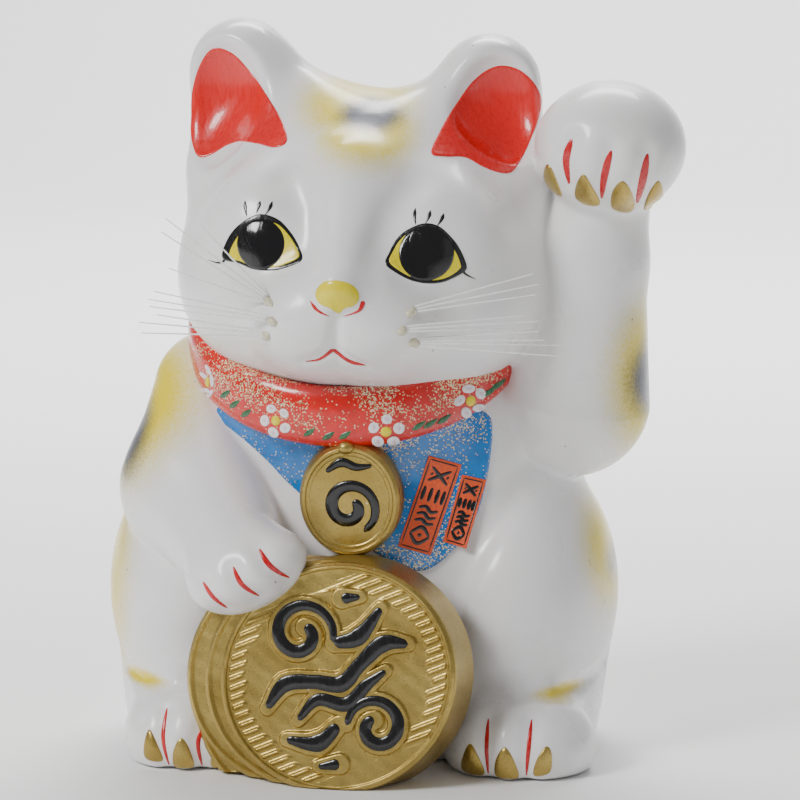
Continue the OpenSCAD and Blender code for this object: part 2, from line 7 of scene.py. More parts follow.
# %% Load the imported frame
import bpy
import mathutils
import numpy as np
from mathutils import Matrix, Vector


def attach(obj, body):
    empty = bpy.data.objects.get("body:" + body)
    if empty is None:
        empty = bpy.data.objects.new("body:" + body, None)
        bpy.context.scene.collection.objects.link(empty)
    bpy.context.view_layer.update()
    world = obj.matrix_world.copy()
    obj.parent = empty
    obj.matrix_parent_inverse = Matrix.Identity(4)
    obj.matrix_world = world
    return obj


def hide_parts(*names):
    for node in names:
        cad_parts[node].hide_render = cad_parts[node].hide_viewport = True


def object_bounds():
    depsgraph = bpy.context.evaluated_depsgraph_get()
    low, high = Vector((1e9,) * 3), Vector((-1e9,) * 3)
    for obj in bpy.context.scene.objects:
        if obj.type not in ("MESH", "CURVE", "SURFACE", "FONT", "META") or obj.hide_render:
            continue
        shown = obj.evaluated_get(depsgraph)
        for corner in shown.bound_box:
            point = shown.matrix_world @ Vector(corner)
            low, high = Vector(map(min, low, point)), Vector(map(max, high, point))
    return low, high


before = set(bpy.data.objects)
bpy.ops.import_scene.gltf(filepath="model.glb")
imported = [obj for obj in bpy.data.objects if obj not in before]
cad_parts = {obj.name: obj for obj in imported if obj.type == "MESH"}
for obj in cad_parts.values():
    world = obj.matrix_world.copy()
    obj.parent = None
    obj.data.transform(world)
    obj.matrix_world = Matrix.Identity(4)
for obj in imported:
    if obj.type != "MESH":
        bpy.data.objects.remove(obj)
cad_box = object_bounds()
MM = 0.001
print("nodes in the frame:", len(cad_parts))

# %% [markdown]
# ## Soft masses
# A distance field says how far a point is from a surface, and is negative inside. Eggs and tapered pods are
# the lumps of clay, and `soft` presses two lumps together with a smooth fillet, as a thumb does.

# %% Lumps of clay
def soft(a, b, reach):
    """The lower of two fields, less a quarter of the squared overlap of their fillet zone."""
    h = np.maximum(reach - np.abs(a - b), 0)/reach
    return np.minimum(a, b) - h*h*reach/4


def egg(p, centre, radii):
    """Ellipsoid: k(k - 1)/|gradient|, where k is the distance in units of the radii."""
    q = p - np.array(centre, float)
    r = np.array(radii, float)
    k = np.sqrt(((q/r)**2).sum(-1))
    slope = np.sqrt(((q/r**2)**2).sum(-1))
    return k*(k - 1)/np.maximum(slope, 1e-9)


def pod(p, a, b, radius_a, radius_b):
    """Distance to the nearest point of the line from a to b, less a radius that tapers along it."""
    a, b = np.array(a, float), np.array(b, float)
    share = np.clip(((p - a) @ (b - a))/((b - a) @ (b - a)), 0, 1)
    gap = np.sqrt(((p - a - share[..., None]*(b - a))**2).sum(-1))
    return gap - radius_a - (radius_b - radius_a)*share


def turned(angle_x, angle_y, angle_z):
    """Rotation matrix of turns about X, then Y, then Z, in degrees."""
    (cx, cy, cz), (sx, sy, sz) = (f(np.radians([angle_x, angle_y, angle_z])) for f in (np.cos, np.sin))
    about_x = np.array([[1, 0, 0], [0, cx, -sx], [0, sx, cx]])
    about_y = np.array([[cy, 0, sy], [0, 1, 0], [-sy, 0, cy]])
    about_z = np.array([[cz, -sz, 0], [sz, cz, 0], [0, 0, 1]])
    return about_z @ about_y @ about_x


def folded(p, middle=0.0):
    """The same points with the left half laid over the right one."""
    q = p.copy()
    q[..., 0] = np.abs(q[..., 0] - middle)
    return q


# %% [markdown]
# ## The four castings
# The head is a wide egg with jowls, a small muzzle and mounds for the eyes, and it leans a little. Its ears
# are pods, hollowed by dishes. The torso is folded about its middle, so that both haunches are one formula.

# %% Head, torso and forelegs
HEAD_CENTRE = np.array([2.0, -12.0, 199.0])
HEAD_ROLL = 2.7
TORSO_MIDDLE = -2.5
EAR_DISHES = (((-55, -27, 255), (21, 14, 31), (-8, -12, -20)), ((53, -27, 254), (21, 14, 29), (-8, 16, 18)))


def ear(p, tip, inner_foot, outer_foot, radii, dish):
    """Two pods from the tip to the feet of the ear, less a turned egg."""
    body = soft(pod(p, tip, inner_foot, radii[0], radii[1]), pod(p, tip, outer_foot, radii[0], radii[2]), 10)
    place, dish_radii, turn = dish
    hollow = egg((p - np.array(place, float)) @ turned(*turn), (0, 0, 0), dish_radii)
    return -soft(-body, hollow, 4)


def head(p):
    """Cranium, jowls, chin, muzzle, eye mounds, bridge and nose, then both ears."""
    m = folded((p - HEAD_CENTRE) @ turned(0, HEAD_ROLL, 0))
    d = egg(m, (0, 3, 3), (72.5, 59, 61))
    d = soft(d, egg(m, (25, -18, -15), (42.5, 42, 31)), 26)
    d = soft(d, egg(m, (0, -48, -28), (26, 24, 14.5)), 20)
    d = soft(d, egg(m, (14, -59, -20), (20, 20, 15)), 14)
    d = soft(d, egg(m, (33, -38, 12), (23, 19, 22)), 14)
    d = soft(d, pod(m, (0, -42, 33), (0, -69, -4), 10, 11), 18)
    d = soft(d, egg(m, (0, -76, -5), (10, 9, 7)), 7)
    left = ear(p, (-50, -4, 270), (-16, -8, 241), (-52, -8, 234), (18.5, 22, 19), EAR_DISHES[0])
    right = ear(p, (49, -4, 265), (28, -8, 242), (54, -10, 234), (18, 20, 20), EAR_DISHES[1])
    return soft(soft(d, left, 16), right, 16)


def torso(p):
    """Belly, shoulders, haunches, seat, neck, feet and bobtail, cut flat at the foot."""
    m = folded(p, TORSO_MIDDLE)
    d = egg(m, (0, 8, 84), (74, 62, 85))
    d = soft(d, egg(m, (46, 4, 120), (38, 38, 38)), 22)
    d = soft(d, egg(m, (63, 4, 62), (40, 58, 57)), 12)
    seat = np.minimum(egg(m, (61, 2, 16), (35, 58, 40)), egg(m, (0, 8, 12), (72, 57, 44)))
    d = soft(d, seat, 14)
    d = soft(d, egg(p, (-3, 0, 144), (62, 57, 38)), 16)
    feet = np.minimum(egg(p, (-64, -46, 10), (27, 28, 22)), egg(p, (67, -46, 10), (30, 28, 22)))
    d = soft(d, feet, 9)
    tail = np.minimum(pod(p, (26, 58, 14), (0, 69, 20), 11, 11), pod(p, (0, 69, 20), (-9, 66, 52), 11, 8))
    d = soft(d, tail, 8)
    return -soft(-d, p[..., 2], 1.5)


def raised_leg(p):
    """Upper leg, wrist and paw of the beckoning foreleg."""
    d = pod(p, (82, -6, 142), (91, -13, 196), 32, 21.5)
    d = soft(d, pod(p, (91, -13, 196), (95, -15, 220), 21.5, 19), 6)
    return soft(d, egg(p, (99, -26, 243), (29.5, 31, 26)), 5)


def lowered_leg(p):
    """Upper leg, forearm and the paw that rests on the coins."""
    d = pod(p, (-62, -6, 142), (-64, -26, 106), 24, 30)
    d = soft(d, pod(p, (-64, -28, 106), (-43, -67, 85.5), 29, 20.5), 10)
    paw = (p - np.array([-35.5, -78.0, 81.5])) @ turned(0, -24, 0)
    return soft(d, egg(paw, (0, 0, 0), (24, 19.5, 15)), 8)


# %% [markdown]
# ## Finding the skin
# Thick enamel lies on the skin of the clay. `front` sends rays backwards from in front of the cat until each
# one meets a field, which lays a flat drawing, in x and z, onto the sculpture.

# %% Rays, slopes and valleys
def slope(field, p, gap=0.2):
    """Field's outward direction: differences of the field over a small gap along X, Y and Z."""
    steps = np.eye(3)*gap
    rise = np.stack([field(p + s) - field(p - s) for s in steps], -1)
    return rise/np.maximum(np.linalg.norm(rise, axis=-1, keepdims=True), 1e-9)


def settle(field, p, turns=4, gap=0.2):
    """Newton's steps: each point moves along the slope by the field's value."""
    for turn in range(turns):
        value = field(p)
        rise = np.stack([field(p + step) - value for step in np.eye(3)*gap], -1)
        rise /= np.maximum(np.linalg.norm(rise, axis=-1, keepdims=True), 1e-9)
        p = p - np.clip(value, -2, 2)[..., None]*rise
    return p


def front(field, start=-150.0, turns=80):
    """A map from (x, z) to the first point of the field's skin along +Y, with its outward direction."""
    def place(x, z):
        p = np.stack([x, np.full(np.shape(x), start), z], -1)
        nearest, least = p.copy(), np.full(np.shape(x), 1e9)
        for turn in range(turns):
            gap = field(p)
            closer = gap < least
            nearest[closer], least[closer] = p[closer], gap[closer]
            p[..., 1] += 0.85*np.clip(gap, -5, 40)
        missed = np.abs(field(p)) > 0.5
        p[missed] = settle(field, nearest[missed], 8)
        return p, slope(field, p)
    return place


TOE_LINES = {
    "raised": [[(86.5, 248), (84.3, 240), (85, 230)], [(102, 244), (99.5, 235), (97.5, 224.5)],
               [(115.5, 242.5), (113.5, 232), (110.5, 222)]],
    "lowered": [[(-51, 79), (-47, 73.5), (-42, 68.5)], [(-38.5, 86), (-35, 79.5), (-29, 74)],
                [(-29, 92.5), (-24.5, 86.5), (-18, 80.5)]],
    "left_foot": [[(-70.5, 23.5), (-71, 13), (-69, 1.5)], [(-54, 20.5), (-57, 12), (-56, 1.5)]],
    "right_foot": [[(56.5, 23), (56.5, 13), (57, 2)], [(73.5, 23.5), (73, 13), (72, 2)]]}
FOLDS = {
    "torso": [([(-100, 35), (-86, 30.5), (-71, 30.5), (-56, 33)], 2.3, 4.0),
              ([(51, 33), (66, 30.5), (82, 29.5), (97, 33)], 2.3, 4.0),
              ([(70, 119), (60, 101), (50, 86), (42.5, 73), (40, 58)], 2.4, 6.0)],
    "head": [([(-24, 231), (-15, 222), (-11, 209), (-8.5, 196)], 2.2, 6.5),
             ([(27, 230), (18.5, 220), (14, 207), (11.5, 196)], 2.2, 6.5)]}
TOE_DEPTH, TOE_SPREAD = 1.9, 4.0


def folded_in(field, lines):
    """The field, raised near each line by its depth times exp(-(gap/width) squared)."""
    laid = []
    for path, depth, width in lines:
        path = np.array(path, float)
        laid.append((front(field)(path[:, 0], path[:, 1])[0], depth, width))

    def carve(p):
        d = field(p)
        for line, depth, width in laid:
            gap = np.min([pod(p, a, b, 0, 0) for a, b in zip(line[:-1], line[1:])], axis=0)
            d = d + depth*np.exp(-(gap/width)**2)
        return d
    return carve


def toes(paw):
    """The toe lines of a paw as folds."""
    return [(line, TOE_DEPTH, TOE_SPREAD) for line in TOE_LINES[paw]]


torso_skin = folded_in(torso, toes("left_foot") + toes("right_foot") + FOLDS["torso"])
raised_skin = folded_in(raised_leg, toes("raised"))
lowered_skin = folded_in(lowered_leg, toes("lowered"))
brow_skin = folded_in(head, FOLDS["head"])


def philtrum(p):
    """A shallow groove from the nose to the mouth, and one along each lip."""
    d = 1.6*np.exp(-(pod(p, (1.5, -92, 182), (-0.5, -88, 169), 0, 0)/2.6)**2)
    for a, b in (((-0.5, -88, 169.5), (-13, -83, 164)), ((-0.5, -88, 169.5), (12, -83, 163))):
        d = d + 1.1*np.exp(-(pod(p, a, b, 0, 0)/2.2)**2)
    return d


def head_skin(p):
    """The head with the folds beside its nose and the grooves of its muzzle."""
    return brow_skin(p) + philtrum(p)


def cat(p):
    """The whole glazed skin: torso, head and forelegs pressed together."""
    d = soft(torso_skin(p), head_skin(p), 3)
    return soft(soft(d, raised_skin(p), 3), lowered_skin(p), 2.5)


print("folds carved:", sum(len(v) for v in (*TOE_LINES.values(), *FOLDS.values())))

# %% [markdown]
# ## From a field to a mesh
# Marching a net over the field gives an even mesh on any shape, ears and creases too, which a grid wrapped
# round one axis can't. Each cell that the skin crosses gets one point, and each grid edge that the skin
# crosses gets one four-sided face between its four cells.

# %% Net over a field
def sample(field, low, high, step, block=4):
    """The field on a grid. Blocks of the grid that lie well off the skin keep only their sign."""
    counts = np.ceil((high - low)/(step*block)).astype(int)
    axes = [low[k] + step*(np.arange(counts[k])*block + (block - 1)/2) for k in range(3)]
    middle = field(np.stack(np.meshgrid(*axes, indexing="ij"), -1))
    near = np.argwhere(np.abs(middle) < 1.5*step*block)
    values = np.where(middle < 0, -99.0, 99.0)
    for axis in range(3):
        values = np.repeat(values, block, axis=axis)
    inner = np.stack(np.meshgrid(*[np.arange(block)]*3, indexing="ij"), -1).reshape(1, -1, 3)
    index = (near[:, None, :]*block + inner).reshape(-1, 3)
    values[tuple(index.T)] = field(low + step*index)
    return values


def net(values, low, step):
    """Points at the mean of each crossed cell's edge crossings, and quads round each crossed edge."""
    inside = values < 0
    shape = np.array(values.shape) - 1
    corners = sum(inside[a:a + shape[0], b:b + shape[1], c:c + shape[2]].astype(np.int8)
                  for a in (0, 1) for b in (0, 1) for c in (0, 1))
    mixed = (corners > 0) & (corners < 8)
    number = np.full(mixed.shape, -1)
    number[mixed] = np.arange(mixed.sum())
    cells = np.argwhere(mixed)
    total, hits = np.zeros(cells.shape), np.zeros(len(cells))
    quads = []
    for axis in range(3):
        u, v = (axis + 1) % 3, (axis + 2) % 3
        for a in (0, 1):
            for b in (0, 1):
                start = cells.copy()
                start[:, u] += a
                start[:, v] += b
                end = start.copy()
                end[:, axis] += 1
                f0, f1 = values[tuple(start.T)], values[tuple(end.T)]
                crossed = (f0 < 0) != (f1 < 0)
                share = np.where(crossed, f0/np.where(crossed, f0 - f1, 1), 0)
                place = start + share[:, None]*np.eye(3)[axis]
                total += place*crossed[:, None]
                hits += crossed
        first, second = [slice(None)]*3, [slice(None)]*3
        first[axis], second[axis] = slice(None, -1), slice(1, None)
        edges = np.argwhere(inside[tuple(first)] != inside[tuple(second)])
        edges = edges[(edges[:, u] > 0) & (edges[:, v] > 0)]
        ring = []
        for a, b in ((1, 1), (0, 1), (0, 0), (1, 0)):
            cell = edges.copy()
            cell[:, u] -= a
            cell[:, v] -= b
            ring.append(number[tuple(cell.T)])
        ring = np.stack(ring, -1)
        outward = inside[tuple(edges.T)]
        quads.append(np.where(outward[:, None], ring, ring[:, ::-1]))
    return low + step*total/hits[:, None], np.concatenate(quads)


def relaxed(points, quads, field, rounds):
    """Each point goes to the middle of its neighbours, and back to the skin."""
    a = quads.ravel()
    b = np.roll(quads, -1, axis=1).ravel()
    links = np.bincount(a, minlength=len(points)) + np.bincount(b, minlength=len(points))
    for turn in range(rounds):
        total = np.stack([np.bincount(a, points[b, k], len(points)) + np.bincount(b, points[a, k],
                                                                                  len(points))
                          for k in range(3)], -1)
        points = settle(field, total/np.maximum(links, 1)[:, None], 1)
    return settle(field, points, 1)


net_step = 1.6
low_corner, high_corner = np.array(cad_box[0])/MM - 12, np.array(cad_box[1])/MM + 12
skin_points, skin_quads = net(sample(cat, low_corner, high_corner, net_step), low_corner, net_step)
skin_points = relaxed(skin_points, skin_quads, cat, 2)
skin_slopes = slope(cat, skin_points)
print("skin:", len(skin_points), "points,", len(skin_quads), "quads")

# %% [markdown]
# ## Clay shells
# The castings are shells about 5 mm thick. The skin is shared out between them: each one takes the faces that
# lie nearest its own mass, gets a second, deeper copy of them as its inner wall, and a strip of faces along
# its rim. The seams between them meet point for point, as luted and glazed seams do.

# %% Helpers for pieces
def signed_volume(points, quads, triangles):
    """A sixth of the sum of the faces' triple products: positive when the faces point outwards."""
    faces = np.concatenate([quads[:, [0, 1, 2]], quads[:, [0, 2, 3]], triangles])
    a, b, c = (points[faces[:, k]] for k in range(3))
    return (a*np.cross(b, c)).sum()/6


def piece(name, shapes, material, slot, *nodes, body="figure", sharp=40):
    """One object of points in mm, quads and triangles. It rides on a body and hides the given nodes."""
    points, faces, start = [], [], 0
    for p, quads, triangles in shapes:
        if signed_volume(p - p.mean(0), quads, triangles) < 0:
            quads, triangles = quads[:, ::-1], triangles[:, ::-1]
        points.append(p)
        faces += (quads + start).tolist() + (triangles + start).tolist()
        start += len(p)
    mesh = bpy.data.meshes.new(name)
    mesh.from_pydata((np.concatenate(points)*MM).tolist(), [], faces)
    mesh.polygons.foreach_set("use_smooth", [True]*len(mesh.polygons))
    mesh.set_sharp_from_angle(angle=np.radians(sharp))
    mesh.materials.append(material)
    made = bpy.data.objects.new(name, mesh)
    bpy.context.scene.collection.objects.link(made)
    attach(made, body)
    if nodes:
        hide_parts(*nodes)
    print(f"{name}: {len(faces)} faces")
    return made


def loft(rows, wrap=False):
    """Quads between neighbouring rings. Open ends are closed by a point in the middle of the end ring."""
    count, around = rows.shape[:2]
    i = np.arange(count - 1 + wrap)[:, None]
    j = np.arange(around)[None]
    corners = [i*around + j, i*around + (j + 1) % around,
               (i + 1) % count*around + (j + 1) % around, (i + 1) % count*around + j]
    quads = np.stack(np.broadcast_arrays(*corners), -1).reshape(-1, 4)
    points = rows.reshape(-1, 3)
    if wrap:
        return points, quads, np.zeros((0, 3), int)
    points = np.concatenate([points, rows[:1].mean(1), rows[-1:].mean(1)])
    j = np.arange(around)
    first = np.stack([(j + 1) % around, j, np.full(around, count*around)], -1)
    last = (count - 1)*around + j
    last = np.stack([last, (count - 1)*around + (j + 1) % around, np.full(around, count*around + 1)], -1)
    return points, quads, np.concatenate([first, last])


# %% Sharing out the skin
SEAM_HEIGHT, SEAM_RISE, SEAM_FRONT, SEAM_LEVEL = 170.5, 0.54, -3.0, 3.0
SLOT_HEIGHT, SLOT_LENGTH, SLOT_WIDTH = 232.0, 36.0, 5.0
FOOT_REACH, FOOT_END, FOOT_MIDDLE = 38.0, 38.2, 10.0
WALL = 5.0


def seam_height(y):
    """Where head and torso meet: level in front, rising to the back."""
    return SEAM_HEIGHT + soft(SEAM_RISE*(y - SEAM_FRONT), np.full(np.shape(y), SEAM_LEVEL), 14)


def stadium(u, v, half_length, radius):
    """Distance from a straight line of the given half length, less the radius."""
    return np.hypot(np.maximum(np.abs(u) - half_length, 0), v) - radius


def snapped(points, u, v, half_length, radius, allowed):
    """Points near the outline of a hole move onto it, which leaves the hole's edge smooth."""
    uv = points[:, [u[0], v[0]]] - [u[1], v[1]]
    gap = stadium(uv[:, 0], uv[:, 1], half_length, radius)
    core = np.stack([np.clip(uv[:, 0], -half_length, half_length), np.zeros(len(uv))], -1)
    away = (uv - core)/np.maximum(np.linalg.norm(uv - core, axis=1, keepdims=True), 1e-6)
    moved = allowed & (np.abs(gap) < 0.62*net_step)
    points = points.copy()
    for k, axis in enumerate((u[0], v[0])):
        points[moved, axis] -= (gap[:, None]*away)[moved, k]
    return points, allowed & (np.where(moved, 0, gap) <= 1e-6)


under = skin_points[:, 2] < 0.6
skin_points, in_foot = snapped(skin_points, (0, 0.0), (1, FOOT_MIDDLE), FOOT_REACH, FOOT_END, under)
behind = (skin_points[:, 1] > 10) & (np.abs(skin_points[:, 2] - SLOT_HEIGHT) < 8)
skin_points, in_slot = snapped(skin_points, (0, 0.0), (2, SLOT_HEIGHT), (SLOT_LENGTH - SLOT_WIDTH)/2,
                               SLOT_WIDTH/2, behind)
holes = in_foot[skin_quads].all(1) | in_slot[skin_quads].all(1)
centres = skin_points[skin_quads].mean(1)
masses = np.stack([torso(centres), head(centres), raised_leg(centres), lowered_leg(centres)])
owner = masses.argmin(0)
above = centres[:, 2] > seam_height(centres[:, 1])
owner[(owner == 0) & above] = 1
owner[(owner == 1) & ~above] = 0


def half_thickness(points, slopes):
    """The deepest that the field gets on the way in, which is half of the local thickness."""
    return np.max([-cat(points - slopes*depth) for depth in (2, 4, 6, 8)], axis=0)


def casting(name, part, node, material):
    """Faces of one casting, its inner wall, and the rim between the two."""
    quads = skin_quads[(owner == part) & ~holes]
    used, quads = np.unique(quads, return_inverse=True)
    quads = quads.reshape(-1, 4)
    outer, slopes = skin_points[used], skin_slopes[used]
    depth = np.minimum(WALL, 0.8*half_thickness(outer, slopes))
    count = len(used)
    a, b = quads.ravel(), np.roll(quads, -1, axis=1).ravel()
    border = ~np.isin(a*count + b, b*count + a)
    a, b = a[border], b[border]
    rim = np.stack([b, a, a + count, b + count], -1)
    faces = np.concatenate([quads, quads[:, ::-1] + count, rim])
    points = np.concatenate([outer, outer - slopes*depth[:, None]])
    made = piece(name, [(points, faces, np.zeros((0, 3), int))], material, "glazed_ceramic", node)
    directions = np.zeros((4*len(faces), 3))
    if signed_volume(points, faces, np.zeros((0, 3), int)) > 0:
        directions[:4*len(quads)] = slopes[quads.ravel()]
        made.data.normals_split_custom_set(directions.tolist())
    return made

# %% [markdown]
# ## Finishes
# Every finish is a small network of nodes on Object coordinates, so that it stays fixed to the clay. These
# helpers add one node each. A soft sprayed patch is the distance from an egg-shaped spot, blurred by noise.

# %% Node helpers
def add(tree, kind, inputs=None, **settings):
    """A node with its settings, and with each input either linked or set."""
    node = tree.nodes.new(kind)
    for name, value in settings.items():
        setattr(node, name, value)
    for name, value in (inputs or {}).items():
        if isinstance(value, bpy.types.NodeSocket):
            tree.links.new(value, node.inputs[name])
        else:
            node.inputs[name].default_value = value
    return node


def begin(name, constants):
    """A new material, its tree, its shader and the Object coordinates."""
    material = bpy.data.materials.new(name)
    material.use_nodes = True
    tree = material.node_tree
    shader = tree.nodes["Principled BSDF"]
    for socket, value in constants.items():
        shader.inputs[socket].default_value = value
    return material, tree, shader, tree.nodes.new("ShaderNodeTexCoord").outputs["Object"]


def noise(tree, place, scale, detail=3.0, distortion=0.0):
    """Smooth noise, from 0 to 1, with `scale` blobs to the metre."""
    inputs = {"Vector": place, "Scale": scale, "Detail": detail, "Distortion": distortion}
    return add(tree, "ShaderNodeTexNoise", inputs).outputs["Fac"]


def ramp(tree, value, low, high, bottom=0.0, top=1.0):
    """Value from `bottom` at `low` to `top` at `high`, eased at both ends."""
    inputs = {"Value": value, "From Min": low, "From Max": high, "To Min": bottom, "To Max": top}
    return add(tree, "ShaderNodeMapRange", inputs, interpolation_type="SMOOTHSTEP").outputs["Result"]


def calc(tree, operation, a, b=0.0):
    """One sum of two numbers or sockets."""
    return add(tree, "ShaderNodeMath", {0: a, 1: b}, operation=operation, use_clamp=False).outputs[0]


def blend(tree, share, a, b):
    """Colour a, giving way to colour b where the share is 1."""
    node = tree.nodes.new("ShaderNodeMix")
    node.data_type = "RGBA"
    for index, value in ((0, share), (6, a), (7, b)):
        if isinstance(value, bpy.types.NodeSocket):
            tree.links.new(value, node.inputs[index])
        else:
            node.inputs[index].default_value = value if index == 0 else (*value[:3], 1.0)
    return node.outputs[2]


def spot(tree, place, centre, radii, wobble, edge=0.55):
    """1 in the middle of an egg-shaped spot, 0 outside it, with a noisy blur between."""
    shifted = add(tree, "ShaderNodeVectorMath", {0: place, 1: np.array(centre)*MM}, operation="SUBTRACT")
    scaled = add(tree, "ShaderNodeVectorMath", {0: shifted.outputs[0], 1: 1/(np.array(radii)*MM)},
                 operation="MULTIPLY")
    length = add(tree, "ShaderNodeVectorMath", {0: scaled.outputs[0]}, operation="LENGTH").outputs["Value"]
    return ramp(tree, calc(tree, "ADD", length, wobble), 1.0, 1.0 - edge)


def bump(tree, shader, height, distance, strength=1.0):
    """Fine relief that is `distance` metres high."""
    node = add(tree, "ShaderNodeBump", {"Height": height, "Distance": distance, "Strength": strength})
    tree.links.new(node.outputs["Normal"], shader.inputs["Normal"])


# %% [markdown]
# ## The white glaze
# The glaze is warm white, glossy but uneven like any dipped glaze, with rare brown pinholes. Yellow and
# charcoal are sprayed over it in soft patches: on the brow, shoulders, haunches, raised foreleg and back.

# %% Glaze
WHITE = (0.90, 0.885, 0.87)
YELLOW = (0.82, 0.64, 0.0)
CHARCOAL = (0.03, 0.034, 0.06)
YELLOW_SPOTS = (((0, -24, 258), (31, 46, 24)), ((6, -44, 249), (26, 34, 28)), ((-86, -14, 134), (38, 64, 46)),
                ((-103, -6, 68), (28, 56, 50)), ((113, -6, 152), (29, 46, 46)), ((103, -2, 84), (24, 52, 38)),
                ((-90, -42, 30.5), (24, 26, 4.6)), ((90, -44, 30), (24, 26, 4.4)),
                ((28, 62, 96), (44, 40, 42)),
                ((-20, 62, 34), (26, 30, 24)), ((-30, 50, 232), (38, 30, 30)))
CHARCOAL_SPOTS = (((6.5, -38, 256), (17, 26, 11.5)), ((-91, -22, 124), (17, 42, 25)),
                  ((115, -6, 151), (17, 38, 21)),
                  ((107, 2, 77), (14, 46, 16)), ((36, 66, 104), (22, 30, 20)), ((-40, 52, 236), (18, 24, 14)),
                  ((-9, 70, 50), (14, 14, 14)))


def glaze(name):
    """White, then yellow spots, then charcoal spots, then pinholes; waves and grain in the relief."""
    material, tree, shader, place = begin(name, {"Coat Weight": 0.35, "Coat Roughness": 0.12, "IOR": 1.5})
    wobble = calc(tree, "MULTIPLY", calc(tree, "SUBTRACT", noise(tree, place, 900.0, 4.0), 0.5), 0.35)
    cloud = ramp(tree, noise(tree, place, 22.0), 0.3, 0.7)
    colour = blend(tree, cloud, WHITE, (0.86, 0.85, 0.86))
    for spots, paint in ((YELLOW_SPOTS, YELLOW), (CHARCOAL_SPOTS, CHARCOAL)):
        cover = 0.0
        for centre, radii in spots:
            cover = calc(tree, "MAXIMUM", cover, spot(tree, place, centre, radii, wobble, 0.62))
        colour = blend(tree, cover, colour, paint)
    cells = add(tree, "ShaderNodeTexVoronoi", {"Vector": place, "Scale": 75.0})
    pinhole = ramp(tree, cells.outputs["Distance"], 0.040, 0.022)
    colour = blend(tree, calc(tree, "MULTIPLY", pinhole, 0.8), colour, (0.20, 0.13, 0.08))
    tree.links.new(colour, shader.inputs["Base Color"])
    tree.links.new(ramp(tree, noise(tree, place, 60.0), 0.3, 0.7, 0.26, 0.38), shader.inputs["Roughness"])
    waves = calc(tree, "MULTIPLY", noise(tree, place, 26.0, 2.0), 6.0)
    grain = calc(tree, "MULTIPLY", noise(tree, place, 420.0, 3.0), 0.35)
    pits = calc(tree, "MULTIPLY", pinhole, -3.0)
    bump(tree, shader, calc(tree, "ADD", calc(tree, "ADD", waves, grain), pits), 0.00012)
    return material


white_glaze = glaze("white_glaze")
casting("body_shell", 0, "body_casting", white_glaze)
casting("head_shell", 1, "head_casting", white_glaze)
casting("raised_foreleg_shell", 2, "raised_foreleg", white_glaze)
casting("lowered_foreleg_shell", 3, "lowered_foreleg", white_glaze)

# %% [markdown]
# ## Enamel, gold, glitter and the rest
# Enamel is thick, glossy paint with faint brush streaks. Gold is a metallic paint, so it is part metal and
# rather rough, and dirt stays in its grain. Glitter is a layer of small cells, of which a share is gold.

# %% Paints
def enamel(name, colour, roughness=0.2, streak=0.18):
    """One colour with brush streaks that are darker and lighter than it."""
    material, tree, shader, place = begin(name, {"Coat Weight": 0.5, "Coat Roughness": 0.06})
    stretched = add(tree, "ShaderNodeMapping", {"Vector": place, "Scale": (1.0, 1.0, 0.25)}).outputs[0]
    strokes = ramp(tree, noise(tree, stretched, 700.0, 4.0), 0.3, 0.7)
    darker = tuple(c*(1 - streak) for c in colour)
    tree.links.new(blend(tree, strokes, darker, colour), shader.inputs["Base Color"])
    tree.links.new(ramp(tree, strokes, 0.0, 1.0, roughness*0.8, roughness*1.3), shader.inputs["Roughness"])
    bump(tree, shader, strokes, 0.00005)
    return material


def gold_paint(name):
    """Brass colour with brown grain and painted glints; metallic is constant, and roughness follows the grain."""
    material, tree, shader, place = begin(name, {"Metallic": 0.85})
    grain = noise(tree, place, 1500.0, 4.0)
    cloud = ramp(tree, noise(tree, place, 45.0, 4.0), 0.3, 0.75)
    colour = blend(tree, cloud, (0.40, 0.28, 0.07), (0.54, 0.40, 0.12))
    colour = blend(tree, ramp(tree, grain, 0.56, 0.78), colour, (0.20, 0.135, 0.05))
    # Small pale cream dots scattered over the gold are painted glints.
    cells = add(tree, "ShaderNodeTexVoronoi", {"Vector": place, "Scale": 130.0})
    painted_glint = ramp(tree, cells.outputs["Distance"], 0.06, 0.035)
    colour = blend(tree, painted_glint, colour, (0.75, 0.66, 0.48))
    tree.links.new(colour, shader.inputs["Base Color"])
    tree.links.new(ramp(tree, grain, 0.3, 0.75, 0.27, 0.44), shader.inputs["Roughness"])
    relief = calc(tree, "ADD", grain, calc(tree, "MULTIPLY", noise(tree, place, 160.0), 2.5))
    bump(tree, shader, relief, 0.00008)
    return material


def glitter(name, colour, drift, flakes=((0.80, 0.58, 0.24), (0.93, 0.84, 0.60))):
    """Enamel with flakes: small cells of a Voronoi pattern, more of them where the drift socket is high."""
    material, tree, shader, place = begin(name, {"Coat Weight": 0.6, "Coat Roughness": 0.08})
    streaks = ramp(tree, noise(tree, place, 240.0, 4.0), 0.3, 0.7)
    base = blend(tree, streaks, tuple(c*0.82 for c in colour), colour)
    cells = add(tree, "ShaderNodeTexVoronoi", {"Vector": place, "Scale": 1700.0})
    chance = add(tree, "ShaderNodeSeparateColor", {"Color": cells.outputs["Color"]})
    density = drift(tree, place)
    chosen = ramp(tree, calc(tree, "SUBTRACT", density, chance.outputs[0]), -0.01, 0.01)
    flake = calc(tree, "MULTIPLY", chosen, ramp(tree, cells.outputs["Distance"], 0.62, 0.50))
    tint = blend(tree, chance.outputs[1], *flakes)
    tint = blend(tree, ramp(tree, chance.outputs[2], 0.80, 0.84), tint, (0.25, 0.17, 0.06))
    tree.links.new(blend(tree, flake, base, tint), shader.inputs["Base Color"])
    tree.links.new(ramp(tree, flake, 0.0, 1.0, 0.22, 0.4), shader.inputs["Roughness"])
    bump(tree, shader, calc(tree, "ADD", flake, calc(tree, "MULTIPLY", streaks, 0.4)), 0.00012)
    return material


